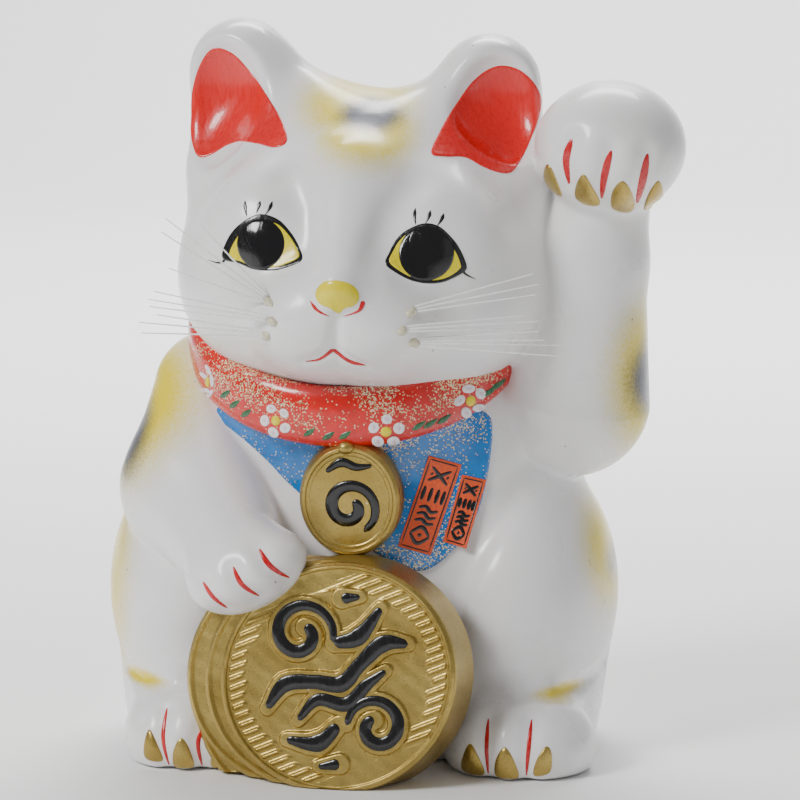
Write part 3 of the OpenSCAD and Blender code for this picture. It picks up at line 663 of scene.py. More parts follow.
def collar_drift(tree, place):
    """Flakes crowd along the upper edge, in drifts, and thin out to strays below it."""
    rise = add(tree, "ShaderNodeVectorMath", {0: place, 1: (0.0, -SEAM_RISE, 1.0)}, operation="DOT_PRODUCT")
    upper = ramp(tree, rise.outputs["Value"], 0.1665, 0.1775)
    cloud = ramp(tree, noise(tree, place, 70.0, 3.0), 0.36, 0.62)
    thick = calc(tree, "MULTIPLY", calc(tree, "MULTIPLY", upper, cloud), 0.72)
    return calc(tree, "ADD", thick, 0.035)


def bib_drift(tree, place):
    """Drifts of flakes with bare enamel between them."""
    cloud = ramp(tree, noise(tree, place, 48.0, 3.0), 0.38, 0.66)
    return calc(tree, "ADD", calc(tree, "MULTIPLY", cloud, 0.50), 0.05)


def dull(name, colour, roughness, scale, height, constants=None, mottle=0.22):
    """A matt finish: mottled colour with grain of the given scale and height."""
    material, tree, shader, place = begin(name, constants or {})
    grain = noise(tree, place, scale, 5.0)
    darker = tuple(c*(1 - mottle) for c in colour)
    tree.links.new(blend(tree, ramp(tree, grain, 0.3, 0.7), darker, colour), shader.inputs["Base Color"])
    tree.links.new(ramp(tree, grain, 0.3, 0.7, roughness*0.85, roughness), shader.inputs["Roughness"])
    bump(tree, shader, grain, height)
    return material


gold = gold_paint("gold_paint")
black_enamel = enamel("black_enamel", (0.003, 0.003, 0.004), 0.2)
red_enamel = enamel("red_enamel", (0.74, 0.006, 0.004), 0.32, 0.07)
line_red = enamel("line_red", (0.62, 0.003, 0.006), 0.3)
yellow_enamel = enamel("yellow_enamel", (0.84, 0.70, 0.0), 0.3, 0.08)
white_enamel = enamel("white_enamel", (0.92, 0.91, 0.90), 0.25, 0.06)
petal_white = enamel("petal_white", (0.90, 0.86, 0.89), 0.3, 0.12)
petal_pink = enamel("petal_pink", (0.80, 0.62, 0.72), 0.35, 0.2)
leaf_green = enamel("leaf_green", (0.03, 0.16, 0.06), 0.3, 0.4)
pupil_black = enamel("pupil_black", (0.002, 0.002, 0.003), 0.12, 0.1)
collar_red = glitter("collar_red", (0.70, 0.006, 0.003), collar_drift)
bib_blue = glitter("bib_blue", (0.0, 0.19, 0.60), bib_drift)
seal_orange = dull("seal_orange", (0.84, 0.10, 0.02), 0.5, 900.0, 0.00004)
glue = dull("glue", (0.90, 0.83, 0.60), 0.2, 300.0, 0.0001,
            {"Transmission Weight": 0.3, "Coat Weight": 0.5}, 0.1)
nylon = dull("nylon", (0.96, 0.96, 0.95), 0.3, 90.0, 0.00001, {"Transmission Weight": 0.1}, 0.04)
bare_clay = dull("bare_clay", (0.72, 0.66, 0.57), 0.9, 500.0, 0.0002)
rubber = dull("rubber", (0.035, 0.035, 0.04), 0.75, 600.0, 0.0001)

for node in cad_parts.values():
    finish = {"base_slab": bare_clay, "base_stopper": rubber}.get(node.name, nylon)
    node.data.materials.clear()
    node.data.materials.append(finish)
print("materials:", len(bpy.data.materials))

# %% [markdown]
# ## Laying enamel on the skin
# A patch is a closed outline filled with rings, and a stroke is a tapered line. Both are laid on the skin and
# get a rounded top and a sunk underside, as thick paint has, so that each is a small closed solid.

# %% Curves, patches and strokes
def closed_curve(points, count=96):
    """Catmull-Rom curve round through all of the points."""
    p = np.array(points, float)
    t = np.arange(count)*len(p)/count
    i, f = t.astype(int), (t % 1)[:, None]
    a, b, c, d = (p[(i + k) % len(p)] for k in (-1, 0, 1, 2))
    return 0.5*(2*b + (c - a)*f + (2*a - 5*b + 4*c - d)*f**2 + (3*b - a - 3*c + d)*f**3)


def open_curve(points, count=20):
    """Catmull-Rom curve from the first point to the last."""
    p = np.array(points, float)
    p = np.concatenate([2*p[:1] - p[1:2], p, 2*p[-1:] - p[-2:-1]])
    t = np.linspace(0, len(p) - 3 - 1e-9, count)
    i, f = t.astype(int) + 1, (t % 1)[:, None]
    a, b, c, d = (p[i + k] for k in (-1, 0, 1, 2))
    return 0.5*(2*b + (c - a)*f + (2*a - 5*b + 4*c - d)*f**2 + (3*b - a - 3*c + d)*f**3)


def patch(outline, skin, lift=0.35, edge=0.8, dome=0.0, rings=9, sink=0.5, centre=None):
    """Rings of the outline shrunk to its centre; the height is a quarter circle at the edge, plus a dome."""
    middle = outline.mean(0) if centre is None else np.array(centre, float)
    size = np.linalg.norm(outline - middle, axis=1).mean()
    top = np.cos(np.linspace(0, np.pi/2, rings + 1))[:-1]
    top = np.concatenate([[1.0, 1 - 0.15*edge/size, 1 - 0.5*edge/size], top[top < 1 - 0.8*edge/size]])
    shares = np.concatenate([[0.3, 0.75, 0.99], top])
    height = lift*np.sqrt(1 - (1 - np.clip((1 - top)*size/edge, 0, 1))**2) + dome*(1 - top**2)
    height = np.concatenate([[-sink]*3, height - 0.05*(top > 0.9999)])
    flat = middle + shares[:, None, None]*(outline - middle)
    points, slopes = skin(flat[..., 0], flat[..., 1])
    return loft(points + slopes*height[:, None, None])


def stroke(path, widths, skin, lift=0.3, sink=0.4, count=20, around=12):
    """Oval section carried along the path; its half width follows the widths from end to end."""
    line = open_curve(path, count)
    ahead = np.gradient(line, axis=0)
    side = np.stack([-ahead[:, 1], ahead[:, 0]], -1)/np.linalg.norm(ahead, axis=1, keepdims=True)
    half = np.interp(np.linspace(0, 1, count), np.linspace(0, 1, len(widths)), widths)
    gone = np.concatenate([[0], np.cumsum(np.linalg.norm(np.diff(line, axis=0), axis=1))])
    left = np.minimum(gone, gone[-1] - gone)/np.maximum(half, 1e-6)
    half = half*np.sqrt(1 - (1 - np.clip(left + 0.03, 0, 1))**2)
    turn = 2*np.pi*np.arange(around)/around
    flat = line[:, None] + side[:, None]*(half[:, None]*np.cos(turn))[..., None]
    points, slopes = skin(flat[..., 0], flat[..., 1])
    height = np.where(np.sin(turn) > 0, lift, sink)*np.sin(turn)
    height = height*np.minimum(half/max(half.max(), 1e-6)*1.6, 1)[:, None]
    return loft(points + slopes*height[..., None])


def ring(centre, radii, count=48, turn=0.0):
    """Oval outline about a centre."""
    t = 2*np.pi*np.arange(count)/count
    x, z = radii[0]*np.cos(t), radii[1]*np.sin(t)
    c, s = np.cos(np.radians(turn)), np.sin(np.radians(turn))
    return np.stack([centre[0] + c*x - s*z, centre[1] + s*x + c*z], -1)


on_head, on_torso = front(head_skin), front(torso_skin)
on_raised, on_lowered = front(raised_skin), front(lowered_skin)

# %% [markdown]
# ## The face
# Each eye is painted in layers: a black outline that is thick at the outer corner, white corners, a yellow
# iris and a bulging black pupil cut off by the lids. Where a circle meets the lids, the nearer of the two
# is the outline, so the layers fit in the same opening.

# %% Eyes
EYES = {
    "left": {"outline": [(-47, 201.5), (-45.5, 208), (-40.5, 214.5), (-32.5, 219), (-25, 217.5),
                         (-19.5, 212.5),
                         (-15.5, 206.5), (-14.2, 202.5), (-18.5, 200), (-25.5, 198), (-33.5, 198), (-40, 200)],
             "opening": [(-43.8, 202), (-42.5, 207), (-38, 213), (-32, 216.3), (-25, 215.6), (-20, 211.3),
                         (-16.3, 206), (-15.4, 203.2), (-19.5, 200.9), (-25.5, 199), (-33.5, 198.9), (-39, 200.8)],
             "pupil": (-31, 207.6), "size": 9.7, "iris": 17,
             "lashes": [[(-38.2, 224), (-37.8, 221), (-37, 218)], [(-32, 224), (-32.4, 222), (-33.2, 219.3)],
                        [(-27.3, 224), (-28, 221.5), (-29.7, 218.8)]],
             "flick": [(-44.5, 203.5), (-46.5, 200.5), (-49, 199.6), (-54, 200.2)]},
    "right": {"outline": [(18, 201.5), (19, 205.5), (21.5, 210.5), (25.5, 214), (32, 216.5), (37.8, 215.3),
                          (42.8, 210.8), (46, 206), (48.2, 200), (47, 197.8), (44, 196), (39.5, 194.2),
                          (34, 193.8), (28, 195), (22.5, 197.8)],
              "opening": [(19.2, 202), (20, 205.2), (22.5, 209.6), (26, 212.7), (32, 214.8), (37, 213.6),
                          (41.3, 209.5), (44.4, 205), (46, 200.4), (45.5, 199), (43.3, 197.2), (39.5, 195.4),
                          (34, 194.9), (28, 196), (22.8, 198.8)],
              "pupil": (33, 205.2), "size": 10.6, "iris": 17,
              "lashes": [[(28, 222), (28, 219), (28.7, 215.8)], [(34, 221.3), (33.6, 219), (32.4, 216.4)],
                         [(39.2, 220.2), (38.4, 217.8), (36.8, 215.4)]],
              "flick": [(46.5, 199.8), (47.5, 197.2), (51.5, 194.8)]}}
LAYERS = {"line": 0.35, "white": 0.5, "iris": 0.62, "pupil": 0.8}


def within(opening, middle, radius, count=96):
    """Outline about a middle: in each direction the nearer of the opening's edge and the circle."""
    curve = closed_curve(opening, 400) - middle
    angle = np.arctan2(curve[:, 1], curve[:, 0])
    order = np.argsort(angle)
    t = 2*np.pi*np.arange(count)/count - np.pi
    edge = np.interp(t, angle[order], np.linalg.norm(curve, axis=1)[order], period=2*np.pi)
    reach = np.minimum(edge, radius)
    return middle + reach[:, None]*np.stack([np.cos(t), np.sin(t)], -1)


for side, eye in EYES.items():
    pupil = np.array(eye["pupil"])
    lines = [patch(closed_curve(eye["outline"]), on_head, LAYERS["line"], 0.7, rings=14)]
    lines += [stroke(lash, (0.1, 0.75, 0.5, 0.12), on_head) for lash in eye["lashes"]]
    lines += [stroke(eye["flick"], (0.6, 0.5, 0.35, 0.08), on_head)]
    piece(f"eye_line_{side}", lines, black_enamel, "black_enamel")
    white = patch(within(eye["opening"], pupil, 99), on_head, LAYERS["white"], 0.5, rings=14, centre=pupil)
    piece(f"eye_white_{side}", [white], white_enamel, "glazed_ceramic")
    disc = within(eye["opening"], pupil, eye["iris"])
    iris = patch(disc, on_head, LAYERS["iris"], 0.4, rings=14, centre=pupil)
    piece(f"eye_iris_{side}", [iris], yellow_enamel, "glazed_ceramic")
    disc = within(eye["outline"], pupil, eye["size"])
    bulge = patch(disc, on_head, LAYERS["pupil"], 0.8, 1.3, 18, centre=pupil)
    piece(f"eye_pupil_{side}", [bulge], pupil_black, "black_enamel")

# %% Nose, mouth and ear linings
NOSE = [(-6.6, 190.6), (-5.4, 194), (-2.4, 196.4), (2, 197), (6.6, 195.8), (9.6, 193), (10.2, 189.4),
        (8.2, 187), (5, 186.2), (2.2, 183.8), (-0.8, 186), (-4.6, 187.6)]
LIPS = [[(-12.3, 164), (-6.5, 165.3), (-0.8, 169.3)], [(-1, 169.3), (5, 164.8), (11.2, 163)]]
NOSTRILS = [[(-8.8, 188.6), (-6, 185.2), (-1.2, 182.6)], [(11.8, 188.8), (10, 185.2), (3.6, 182.6)]]
EAR_LININGS = [[(-67, 239), (-70, 248), (-69.5, 260), (-66, 272), (-60, 279.3), (-52, 277.5), (-44, 270),
                (-35, 260), (-27.5, 250.5), (-25.4, 245), (-30, 242.8), (-38, 243.6), (-46, 243.8),
                (-53, 241.6), (-59, 238), (-63.5, 236.6)],
               [(31.5, 241.5), (33.5, 249), (38, 258.5), (44, 267.5), (52, 273), (60, 272.6), (66.5, 268),
                (70, 261), (69.5, 253), (67, 245), (64.5, 238.5), (61.5, 233.4), (57, 233.2), (51, 235.6),
                (44, 239.4), (37, 240)]]
nose = patch(closed_curve(NOSE), on_head, 0.45, 0.9, rings=14)
piece("nose_cap", [nose], yellow_enamel, "glazed_ceramic")
lips = [stroke(LIPS[0], (0.2, 0.5, 0.75), on_head, 0.35),
        stroke(LIPS[1], (0.8, 0.7, 0.75, 0.25), on_head, 0.35)]
lips += [stroke(NOSTRILS[0], (0.15, 0.75, 0.5, 0.12), on_head),
         stroke(NOSTRILS[1], (0.9, 0.85, 0.4, 0.12), on_head)]
piece("lips_and_nostrils", lips, line_red, "collar_enamel")
for side, lining in zip(("left", "right"), EAR_LININGS):
    shape = patch(closed_curve(lining, 160), on_head, 0.5, 0.9, rings=40, sink=0.8)
    piece(f"ear_lining_{side}", [shape], red_enamel, "collar_enamel")

# %% [markdown]
# ## Paws
# Red lines lie in the grooves between the toes, and each claw is a gold almond with a blunt end.

# %% Toe lines and claws
CLAWS = {
    "raised": [[(76.5, 237.5), (79, 234.5), (81.6, 226), (80.6, 224.2), (76.6, 226.4), (74.2, 230),
                (74.6, 234.5)],
               [(91.2, 234.5), (94, 230.5), (96.8, 222.5), (92, 221.4), (87.4, 224.4), (88, 230)],
               [(106, 232), (108.8, 228.5), (109.6, 221.2), (106.6, 218), (101.2, 220.4), (102, 227.5)],
               [(119.2, 231.5), (120.4, 227.2), (118, 220), (112.6, 218.2), (113, 221.2), (116, 227.6)]],
    "left_foot": [[(-77, 15.5), (-74.4, 12.5), (-71.4, 5.2), (-72.6, 3), (-78.6, 3.8), (-79, 9.5)],
                  [(-63.5, 13.5), (-60.6, 10), (-58.8, 2), (-62.6, 1), (-67, 1.4), (-66.4, 8.6)],
                  [(-48.4, 13.2), (-45.2, 9.6), (-43.8, 1.8), (-47.8, 0.8), (-52.4, 1.2), (-51.4, 8.4)]],
    "right_foot": [[(49.6, 13.6), (52.8, 10), (55.6, 2.2), (51.4, 1.0), (46.2, 2.2), (46.6, 7.4)],
                   [(63.8, 13.8), (67.2, 9.6), (69.2, 1.8), (64.8, 0.9), (60, 1.8), (60.4, 8.6)],
                   [(79.6, 14), (81.8, 11.4), (81.6, 4.6), (79, 2.4), (74.8, 2.4), (76, 8.4)]]}
PAW_SKIN = {"raised": on_raised, "lowered": on_lowered, "left_foot": on_torso, "right_foot": on_torso}
TOE_WIDTH = {"raised": 1.5, "lowered": 1.0, "left_foot": 0.85, "right_foot": 0.85}
for paw, lines in TOE_LINES.items():
    widths = TOE_WIDTH[paw]*np.array([0.3, 0.8, 1.0, 1.0, 0.9, 0.7, 0.3])
    red = [stroke(line, widths, PAW_SKIN[paw], 0.35, 0.4, 36, 12) for line in lines]
    piece(f"toe_lines_{paw}", red, line_red, "collar_enamel")
for paw, claws in CLAWS.items():
    almonds = [patch(closed_curve(claw, 48), PAW_SKIN[paw], 0.4, 0.8, 0.5, 8) for claw in claws]
    piece(f"claws_{paw}", almonds, gold, "gold_paint")

# %% [markdown]
# ## Collar
# The collar is a padded band of clay under red enamel with gold glitter. One oval section, with squared
# corners, is carried round the neck along the tilted seam, and flowers are dabbed on it petal by petal.

# %% Collar band and its blossoms
COLLAR_MIDDLE, COLLAR_RADII = (-3.0, -3.0), (64.0, 57.0)
COLLAR_HALF, COLLAR_OUT, COLLAR_IN = 12.0, 5.0, 9.0
COLLAR_SQUARE = 3.2
SECTION_MIDDLE, SECTION_HALF = (COLLAR_OUT - COLLAR_IN)/2, (COLLAR_OUT + COLLAR_IN)/2


def collar_section(turn):
    """Superellipse: offset outwards and height, for a turn round the section."""
    c, s = np.cos(turn), np.sin(turn)
    power = 2/COLLAR_SQUARE
    return (SECTION_MIDDLE + SECTION_HALF*np.sign(c)*np.abs(c)**power,
            COLLAR_HALF*np.sign(s)*np.abs(s)**power)


def collar_field(p):
    """How far outside the band a point is, by the same superellipse."""
    x, y = p[..., 0] - COLLAR_MIDDLE[0], p[..., 1] - COLLAR_MIDDLE[1]
    out = (np.hypot(x/COLLAR_RADII[0], y/COLLAR_RADII[1]) - 1)*sum(COLLAR_RADII)/2
    up = p[..., 2] - seam_height(p[..., 1])
    size = (np.abs((out - SECTION_MIDDLE)/SECTION_HALF)**COLLAR_SQUARE
            + np.abs(up/COLLAR_HALF)**COLLAR_SQUARE)**(1/COLLAR_SQUARE)
    return (size - 1)*5


around = 2*np.pi*np.arange(400)/400
across = 2*np.pi*(np.arange(56) + 0.5)/56
out, up = collar_section(across)
way = np.stack([np.cos(around)/COLLAR_RADII[0], np.sin(around)/COLLAR_RADII[1]], -1)
way /= np.linalg.norm(way, axis=1, keepdims=True)
line_x = COLLAR_MIDDLE[0] + COLLAR_RADII[0]*np.cos(around)
line_y = COLLAR_MIDDLE[1] + COLLAR_RADII[1]*np.sin(around)
band = np.stack([line_x[:, None] + way[:, :1]*out, line_y[:, None] + way[:, 1:]*out,
                 seam_height(line_y)[:, None] + up + 0*way[:, :1]], -1)
piece("collar_band", [loft(band, wrap=True)], collar_red, "collar_enamel", "collar")

BLOSSOMS = [(-58.2, 149.5, 0.45, 10), (-27.5, 137.8, 0.92, 40), (16, 134.5, 1.0, 15), (47, 144.8, 0.8, 30)]
LEAVES = [(-49.5, 146), (-45.2, 142.6), (-40, 139.6), (-13.5, 134), (-6, 132.8), (0.5, 133.2),
          (28.4, 136.4), (32.6, 137), (37.6, 138.4), (53.6, 147.5), (56.6, 149.8)]
PETAL, PETAL_AWAY, HEART = 2.15, 5.0, 2.1
on_collar = front(collar_field)
petals, blushes, hearts = [], [], []
for x, z, narrow, turn in BLOSSOMS:
    hearts.append(patch(ring((x, z), (HEART*narrow, HEART)), on_collar, 0.4, 0.9, 0.3, 6))
    for k in range(5):
        t = np.radians(turn + 72*k)
        middle = (x + PETAL_AWAY*narrow*np.cos(t), z + PETAL_AWAY*np.sin(t))
        petals.append(patch(ring(middle, (PETAL*narrow, PETAL*1.1), turn=np.degrees(t)*narrow), on_collar,
                            0.3, 0.7, 0.0, 6))
        blushes.append(patch(ring(middle, (0.5*PETAL*narrow, 0.55*PETAL), turn=np.degrees(t)*narrow),
                             on_collar,
                             0.38, 0.7, 0.0, 4))
piece("blossom_petals", petals, petal_white, "collar_enamel")
piece("blossom_blushes", blushes, petal_pink, "collar_enamel")
piece("blossom_hearts", hearts, yellow_enamel, "collar_enamel")
leaves = [stroke([(x - 2.6, z - 1.6), (x, z + 0.1), (x + 2.6, z + 2)], (0.3, 1.15, 0.9, 0.15), on_collar, 0.3)
          for x, z in LEAVES]
piece("blossom_leaves", leaves, leaf_green, "collar_enamel")

# %% [markdown]
# ## Bib, seals and medallion
# The bib is a thick plate of blue enamel that follows the breast. Two slips of printed paper lie on it. Their
# print is made of plain wave and diamond marks, as no writing belongs on a reusable part.

# %% Bib and seals
BIB = [(-56, 138), (-54, 134.6), (-47, 130.5), (-41, 126.3), (-33, 119.5), (-26, 112.5), (-18, 106),
       (-10, 99.5),
       (0, 92.5), (8, 87), (15, 82.2), (22, 79), (28, 77.6), (34, 80), (41, 86.5), (45.5, 92.5), (48.8, 99),
       (51, 106), (52.6, 114), (53.6, 122), (54, 131), (52.6, 137.6), (45, 142), (30, 146), (0, 148), (-25, 147),
       (-45, 144)]
BIB_LIFT = 1.7
bib = patch(closed_curve(BIB, 260), front(torso), BIB_LIFT, 1.6, rings=60, sink=1.0, centre=(6, 118))
piece("bib_plate", [bib], bib_blue, "bib_enamel", "bib")


def slip(middle, width, height, slope_angle):
    """A map from the slip's own axes to x and z."""
    c, s = np.cos(np.radians(slope_angle)), np.sin(np.radians(slope_angle))
    return lambda u, v: (middle[0] + u*width/2*c - v*height/2*s, middle[1] + u*width/2*s + v*height/2*c)


def slip_points(to_xz, points):
    """Points of the slip's unit square in x and z."""
    p = np.array(points, float)
    return np.stack(to_xz(p[:, 0], p[:, 1]), -1)


def rectangle(reach_u, reach_v, count=16):
    """Outline of a rectangle with its corners kept, as points along its four sides."""
    corners = np.array([(-1, -1), (1, -1), (1, 1), (-1, 1)], float)*(reach_u, reach_v)
    share = np.arange(count)[None, :, None]/count
    return (corners[:, None] + share*(np.roll(corners, -1, 0) - corners)[:, None]).reshape(-1, 2)


SEALS = {"large": ((31.2, 103.6), 13.0, 37.0, -18.0, 4), "small": ((44.4, 101), 9.5, 27.0, -15.0, 4)}
SEAL_LIFT, PRINT_LIFT = 0.3, 0.12
SEAL_MARKS = [[[(-1, 0), (0, 1), (1, 0)], [(1, 0), (0, -1), (-1, 0)], [(-0.2, 0), (0.2, 0)]],
              [[(-1, 0.7), (-0.3, 1), (0.3, 0.5), (1, 0.8)], [(-1, -0.1), (-0.3, 0.2), (0.3, -0.3), (1, 0)],
               [(-1, -0.9), (-0.3, -0.6), (0.3, -1), (1, -0.8)]],
              [[(-1, 0.9), (-1, -0.9)], [(-0.3, -0.9), (-0.3, 0.9)], [(0.4, 0.9), (0.4, -0.9)],
               [(1, -0.9), (1, 0.9)]],
              [[(-1, 0.9), (1, -0.9)], [(-1, -0.9), (1, 0.9)], [(-0.9, 0.1), (-0.7, -0.1)], [(0.7, 0.1),
                                                                                             (0.9, -0.1)]]]
on_bib = front(lambda p: torso(p) - BIB_LIFT)
on_seal = front(lambda p: torso(p) - BIB_LIFT - SEAL_LIFT)
for name, (middle, width, height, tilt, marks) in SEALS.items():
    place = slip(middle, width, height, tilt)
    paper = patch(slip_points(place, rectangle(1, 1)), on_bib, SEAL_LIFT, 0.25, rings=12, sink=0.4)
    piece(f"seal_{name}", [paper], seal_orange, "seal_paper", f"paper_seal_{name}")
    inset_u, inset_v = 1 - 2.2/width, 1 - 2.2/height
    corners = np.array([(-1, -1), (1, -1), (1, 1), (-1, 1), (-1, -1)], float)*(inset_u, inset_v)
    printed = [stroke(slip_points(place, [a, (a + b)/2, b]), (0.28, 0.28), on_seal, PRINT_LIFT, 0.2, 12, 8)
               for a, b in zip(corners[:-1], corners[1:])]
    for k in range(marks):
        v = (k + 0.5)/marks*1.84*inset_v - 0.92*inset_v
        for line in SEAL_MARKS[k % len(SEAL_MARKS)]:
            path = [(0.72*inset_u*a, v + 0.74*inset_v/marks*b) for a, b in line]
            laid = slip_points(place, path)
            printed.append(stroke(laid, (0.5, 0.85, 0.5), on_seal, PRINT_LIFT, 0.2, 16, 8))
    piece(f"seal_print_{name}", printed, black_enamel, "black_enamel")

# %% [markdown]
# ## Coins
# A coin is a grid in polar form: rings from the middle of the face, over the raised rim, down the sloped wall
# and round the back. The face's relief is a sum of bumps: the rim, the short ridges of both margins and a
# raised bed under each brush stroke. The brush strokes are abstract curls and waves.

# %% Brush strokes as lines with widths
def curl(centre, radii, angles, widths, steps=14):
    """A spiral line: radius, angle and half width all change evenly, and the middle is fuller."""
    s = np.linspace(0, 1, steps + 1)
    r = radii[0] + (radii[1] - radii[0])*s
    t = np.radians(angles[0] + (angles[1] - angles[0])*s)
    line = np.stack([centre[0] + r*np.cos(t), centre[1] + r*np.sin(t)], -1)
    return line, widths[0] + (widths[1] - widths[0])*s + 0.9*np.sin(np.pi*s)


COIN_STROKES = [
    curl((-7, 21), (13.5, 3), (-35, 400), (1.4, 2.1)),
    ([(4, 13), (14, 12), (26, 19)], (2.2, 3.5, 1.4)),
    ([(-30, -1), (-20, 5), (-9, 2), (1, -2.5), (11, 2), (22, 6), (31, 2.5)],
     (1.4, 3.2, 2.8, 3.3, 2.8, 3.5, 1.5)),
    ([(-20, -9.5), (-10, -5), (0, -10.5), (10, -6.5), (19, -4)], (1.2, 2.5, 2.9, 2.5, 1.1)),
    curl((8, -23), (12, 3), (155, -270), (1.4, 2.1)),
    ([(-6, -17), (-16, -20.5), (-27, -15)], (2.2, 3.5, 1.4)),
    ([(13, 28), (20, 26)], (2.5, 1.1)),
    ([(-19, -29), (-11, -31)], (1.1, 2.5))]


def stroke_gap(u, v, strokes):
    """Distance from points of the face to the nearest stroke's edge."""
    gap = np.full(np.shape(u), 99.0)
    for line, widths in strokes:
        curve = open_curve(line, 36)
        half = np.interp(np.linspace(0, 1, 36), np.linspace(0, 1, len(widths)), widths)
        for point, width in zip(curve, half):
            gap = np.minimum(gap, np.hypot(u - point[0], v - point[1]) - width)
    return gap


def eased(x):
    """Smooth step from 0 to 1."""
    x = np.clip(x, 0, 1)
    return x*x*(3 - 2*x)


# %% The thick front coin
COIN_HALF = (46.0, 43.5)
COIN_CENTRE, COIN_LEAN, COIN_TURN, COIN_SPIN = (0.6, -87, 41.9), -8.0, -4.0, -23.0
COIN_DRAFT, COIN_DEPTH, FAN_DEPTH = 0.12, 23.0, 6.0
RIM_WIDTH, RIM_HEIGHT = 2.0, 0.9
RIDGE_PITCH, RIDGE_HEIGHT, RIDGE_LIMIT = 3.6, 1.15, 35.0
BED_HEIGHT = 1.3
coin_axes = turned(COIN_LEAN, 0, COIN_TURN)
chance = np.random.default_rng(7)


def coin_space(shift, start, spin):
    """A map from a coin's face axes and depth to the cat's axes. The spin turns the face."""
    spun = turned(0, spin, 0)

    def place(u, depth, v):
        local = np.stack(np.broadcast_arrays(u, depth, v), -1) @ spun.T + (shift[0], start, shift[1])
        return np.array(COIN_CENTRE) + local @ coin_axes.T
    return place


def ridge_relief(u, v, inwards):
    """Ridges along u at both margins: a narrow bump in v, faded at both ends of its own length."""
    number = np.clip(np.round(v/RIDGE_PITCH).astype(int) + 10, 0, 20)
    length = np.where(u > 0, ridge_length[0][number], ridge_length[1][number])
    across_bump = np.exp(-((v - np.round(v/RIDGE_PITCH)*RIDGE_PITCH)/0.8)**2)
    along = eased((inwards - RIM_WIDTH - 0.4)/0.8)*eased((RIM_WIDTH + length - inwards)/1.2)
    return RIDGE_HEIGHT*across_bump*along*(np.abs(v) < RIDGE_LIMIT)


ridge_length = 6.5 + 2.5*chance.random((2, 21))


def face_relief(u, v, strokes, ridges=True):
    """Rim, ridges and the beds of the strokes, with the shallow unevenness of the mould."""
    k = np.hypot(u/COIN_HALF[0], v/COIN_HALF[1])
    inwards = (1 - k)*sum(COIN_HALF)/2
    height = RIM_HEIGHT*eased(inwards/0.7)*eased((RIM_WIDTH - inwards)/0.7) + 0.25*eased((4 - inwards)/4)
    gap = stroke_gap(u, v, strokes) if strokes else np.full(np.shape(u), 99.0)
    if ridges:
        height = np.maximum(height, ridge_relief(u, v, inwards)*eased((gap - 1.5)/1.0))
    height = np.maximum(height, BED_HEIGHT*eased((2.1 - gap)/0.9))
    return height + 0.12*np.sin(u/3.1 + 1.0)*np.sin(v/3.7) + 0.08*np.sin(u/1.3)*np.cos(v/1.7 + u/5)


def coin_rows(place, depth, around_count, face_rings, relief, foot=0.0):
    """Rings of the face, the rounded edge, the wall and the back; rings below the foot slide up to it."""
    t = 2*np.pi*np.arange(around_count)/around_count
    share = np.concatenate([np.linspace(0.01, 0.86, face_rings), np.linspace(0.865, 1.0, face_rings//3)])
    u = share[:, None]*COIN_HALF[0]*np.cos(t)
    v = share[:, None]*COIN_HALF[1]*np.sin(t)
    face = place(u, -relief(u, v), v)
    bend = np.linspace(0, np.pi/2, 7)[1:]
    deep = np.concatenate([0.8*(1 - np.cos(bend)), np.linspace(1.2, depth - 0.6, 12), [depth]])
    grow = np.concatenate([0.8*np.sin(bend) - 0.1, 0.7 + COIN_DRAFT*np.linspace(1.2, depth - 0.6, 12), [0.4]])
    wide, high = COIN_HALF[0] + grow[:, None], COIN_HALF[1] + grow[:, None]
    wall = place(wide*np.cos(t), deep[:, None], high*np.sin(t))
    back_share = np.array([0.9, 0.5, 0.1])[:, None]
    back = place(back_share*COIN_HALF[0]*np.cos(t), depth, back_share*COIN_HALF[1]*np.sin(t))
    rows = np.concatenate([face, wall, back])
    upright = coin_axes @ np.array([0, 0, 1.0])
    return rows + np.maximum(foot - rows[..., 2:], 0)/upright[2]*upright


front_coin = coin_space((0, 0), 0, COIN_SPIN)
rows = coin_rows(front_coin, COIN_DEPTH, 640, 96, lambda u, v: face_relief(u, v, COIN_STROKES))
piece("coin_front_cast", [loft(rows)], gold, "gold_paint", "coin_front", sharp=60)
FAN = {"second": ((-7.5, 0.5), 4.0, -5), "third": ((-16.5, 1), 10.1, -9), "fourth": ((-15, -8), 16.2, -14)}
FOOT_STEP = 0.2
for step, (name, (shift, start, spin)) in enumerate(FAN.items()):
    rows = coin_rows(coin_space(shift, start, COIN_SPIN + spin), FAN_DEPTH, 320, 30,
                     lambda u, v: face_relief(u, v, [], False), foot=FOOT_STEP*(step + 1))
    piece(f"coin_{name}_cast", [loft(rows)], gold, "gold_paint", f"coin_{name}", sharp=60)


def on_coin(u, v):
    """Skin of the front coin's face for strokes, on top of their raised bed."""
    out = np.broadcast_to(coin_axes @ (0, -1.0, 0), (*np.shape(u), 3))
    return front_coin(u, np.full(np.shape(u), -BED_HEIGHT + 0.05), v), out


brush = [stroke(line, widths, on_coin, 0.7, 0.3, 72, 18) for line, widths in COIN_STROKES]
piece("coin_brushwork", brush, black_enamel, "black_enamel", "coin_ornament")

# %% The medallion
MEDAL_CENTRE, MEDAL_LEAN, MEDAL_HALF, MEDAL_DEPTH = (1.5, -61.5, 107.0), 5.0, (18.8, 21.6), 10.0
medal_axes = turned(MEDAL_LEAN, 0, 0)
MEDAL_STROKES = [curl((0, -2.5), (11.3, 2.4), (-60, 420), (1.4, 2.0)),
                 ([(-9, 11.5), (-3, 15.3), (3, 13.6), (9, 14.2)], (0.9, 2.0, 1.6, 0.8))]


def medal_place(u, depth, v):
    """From the medallion's face axes to the cat's."""
    return np.array(MEDAL_CENTRE) + np.stack(np.broadcast_arrays(u, depth, v), -1) @ medal_axes.T


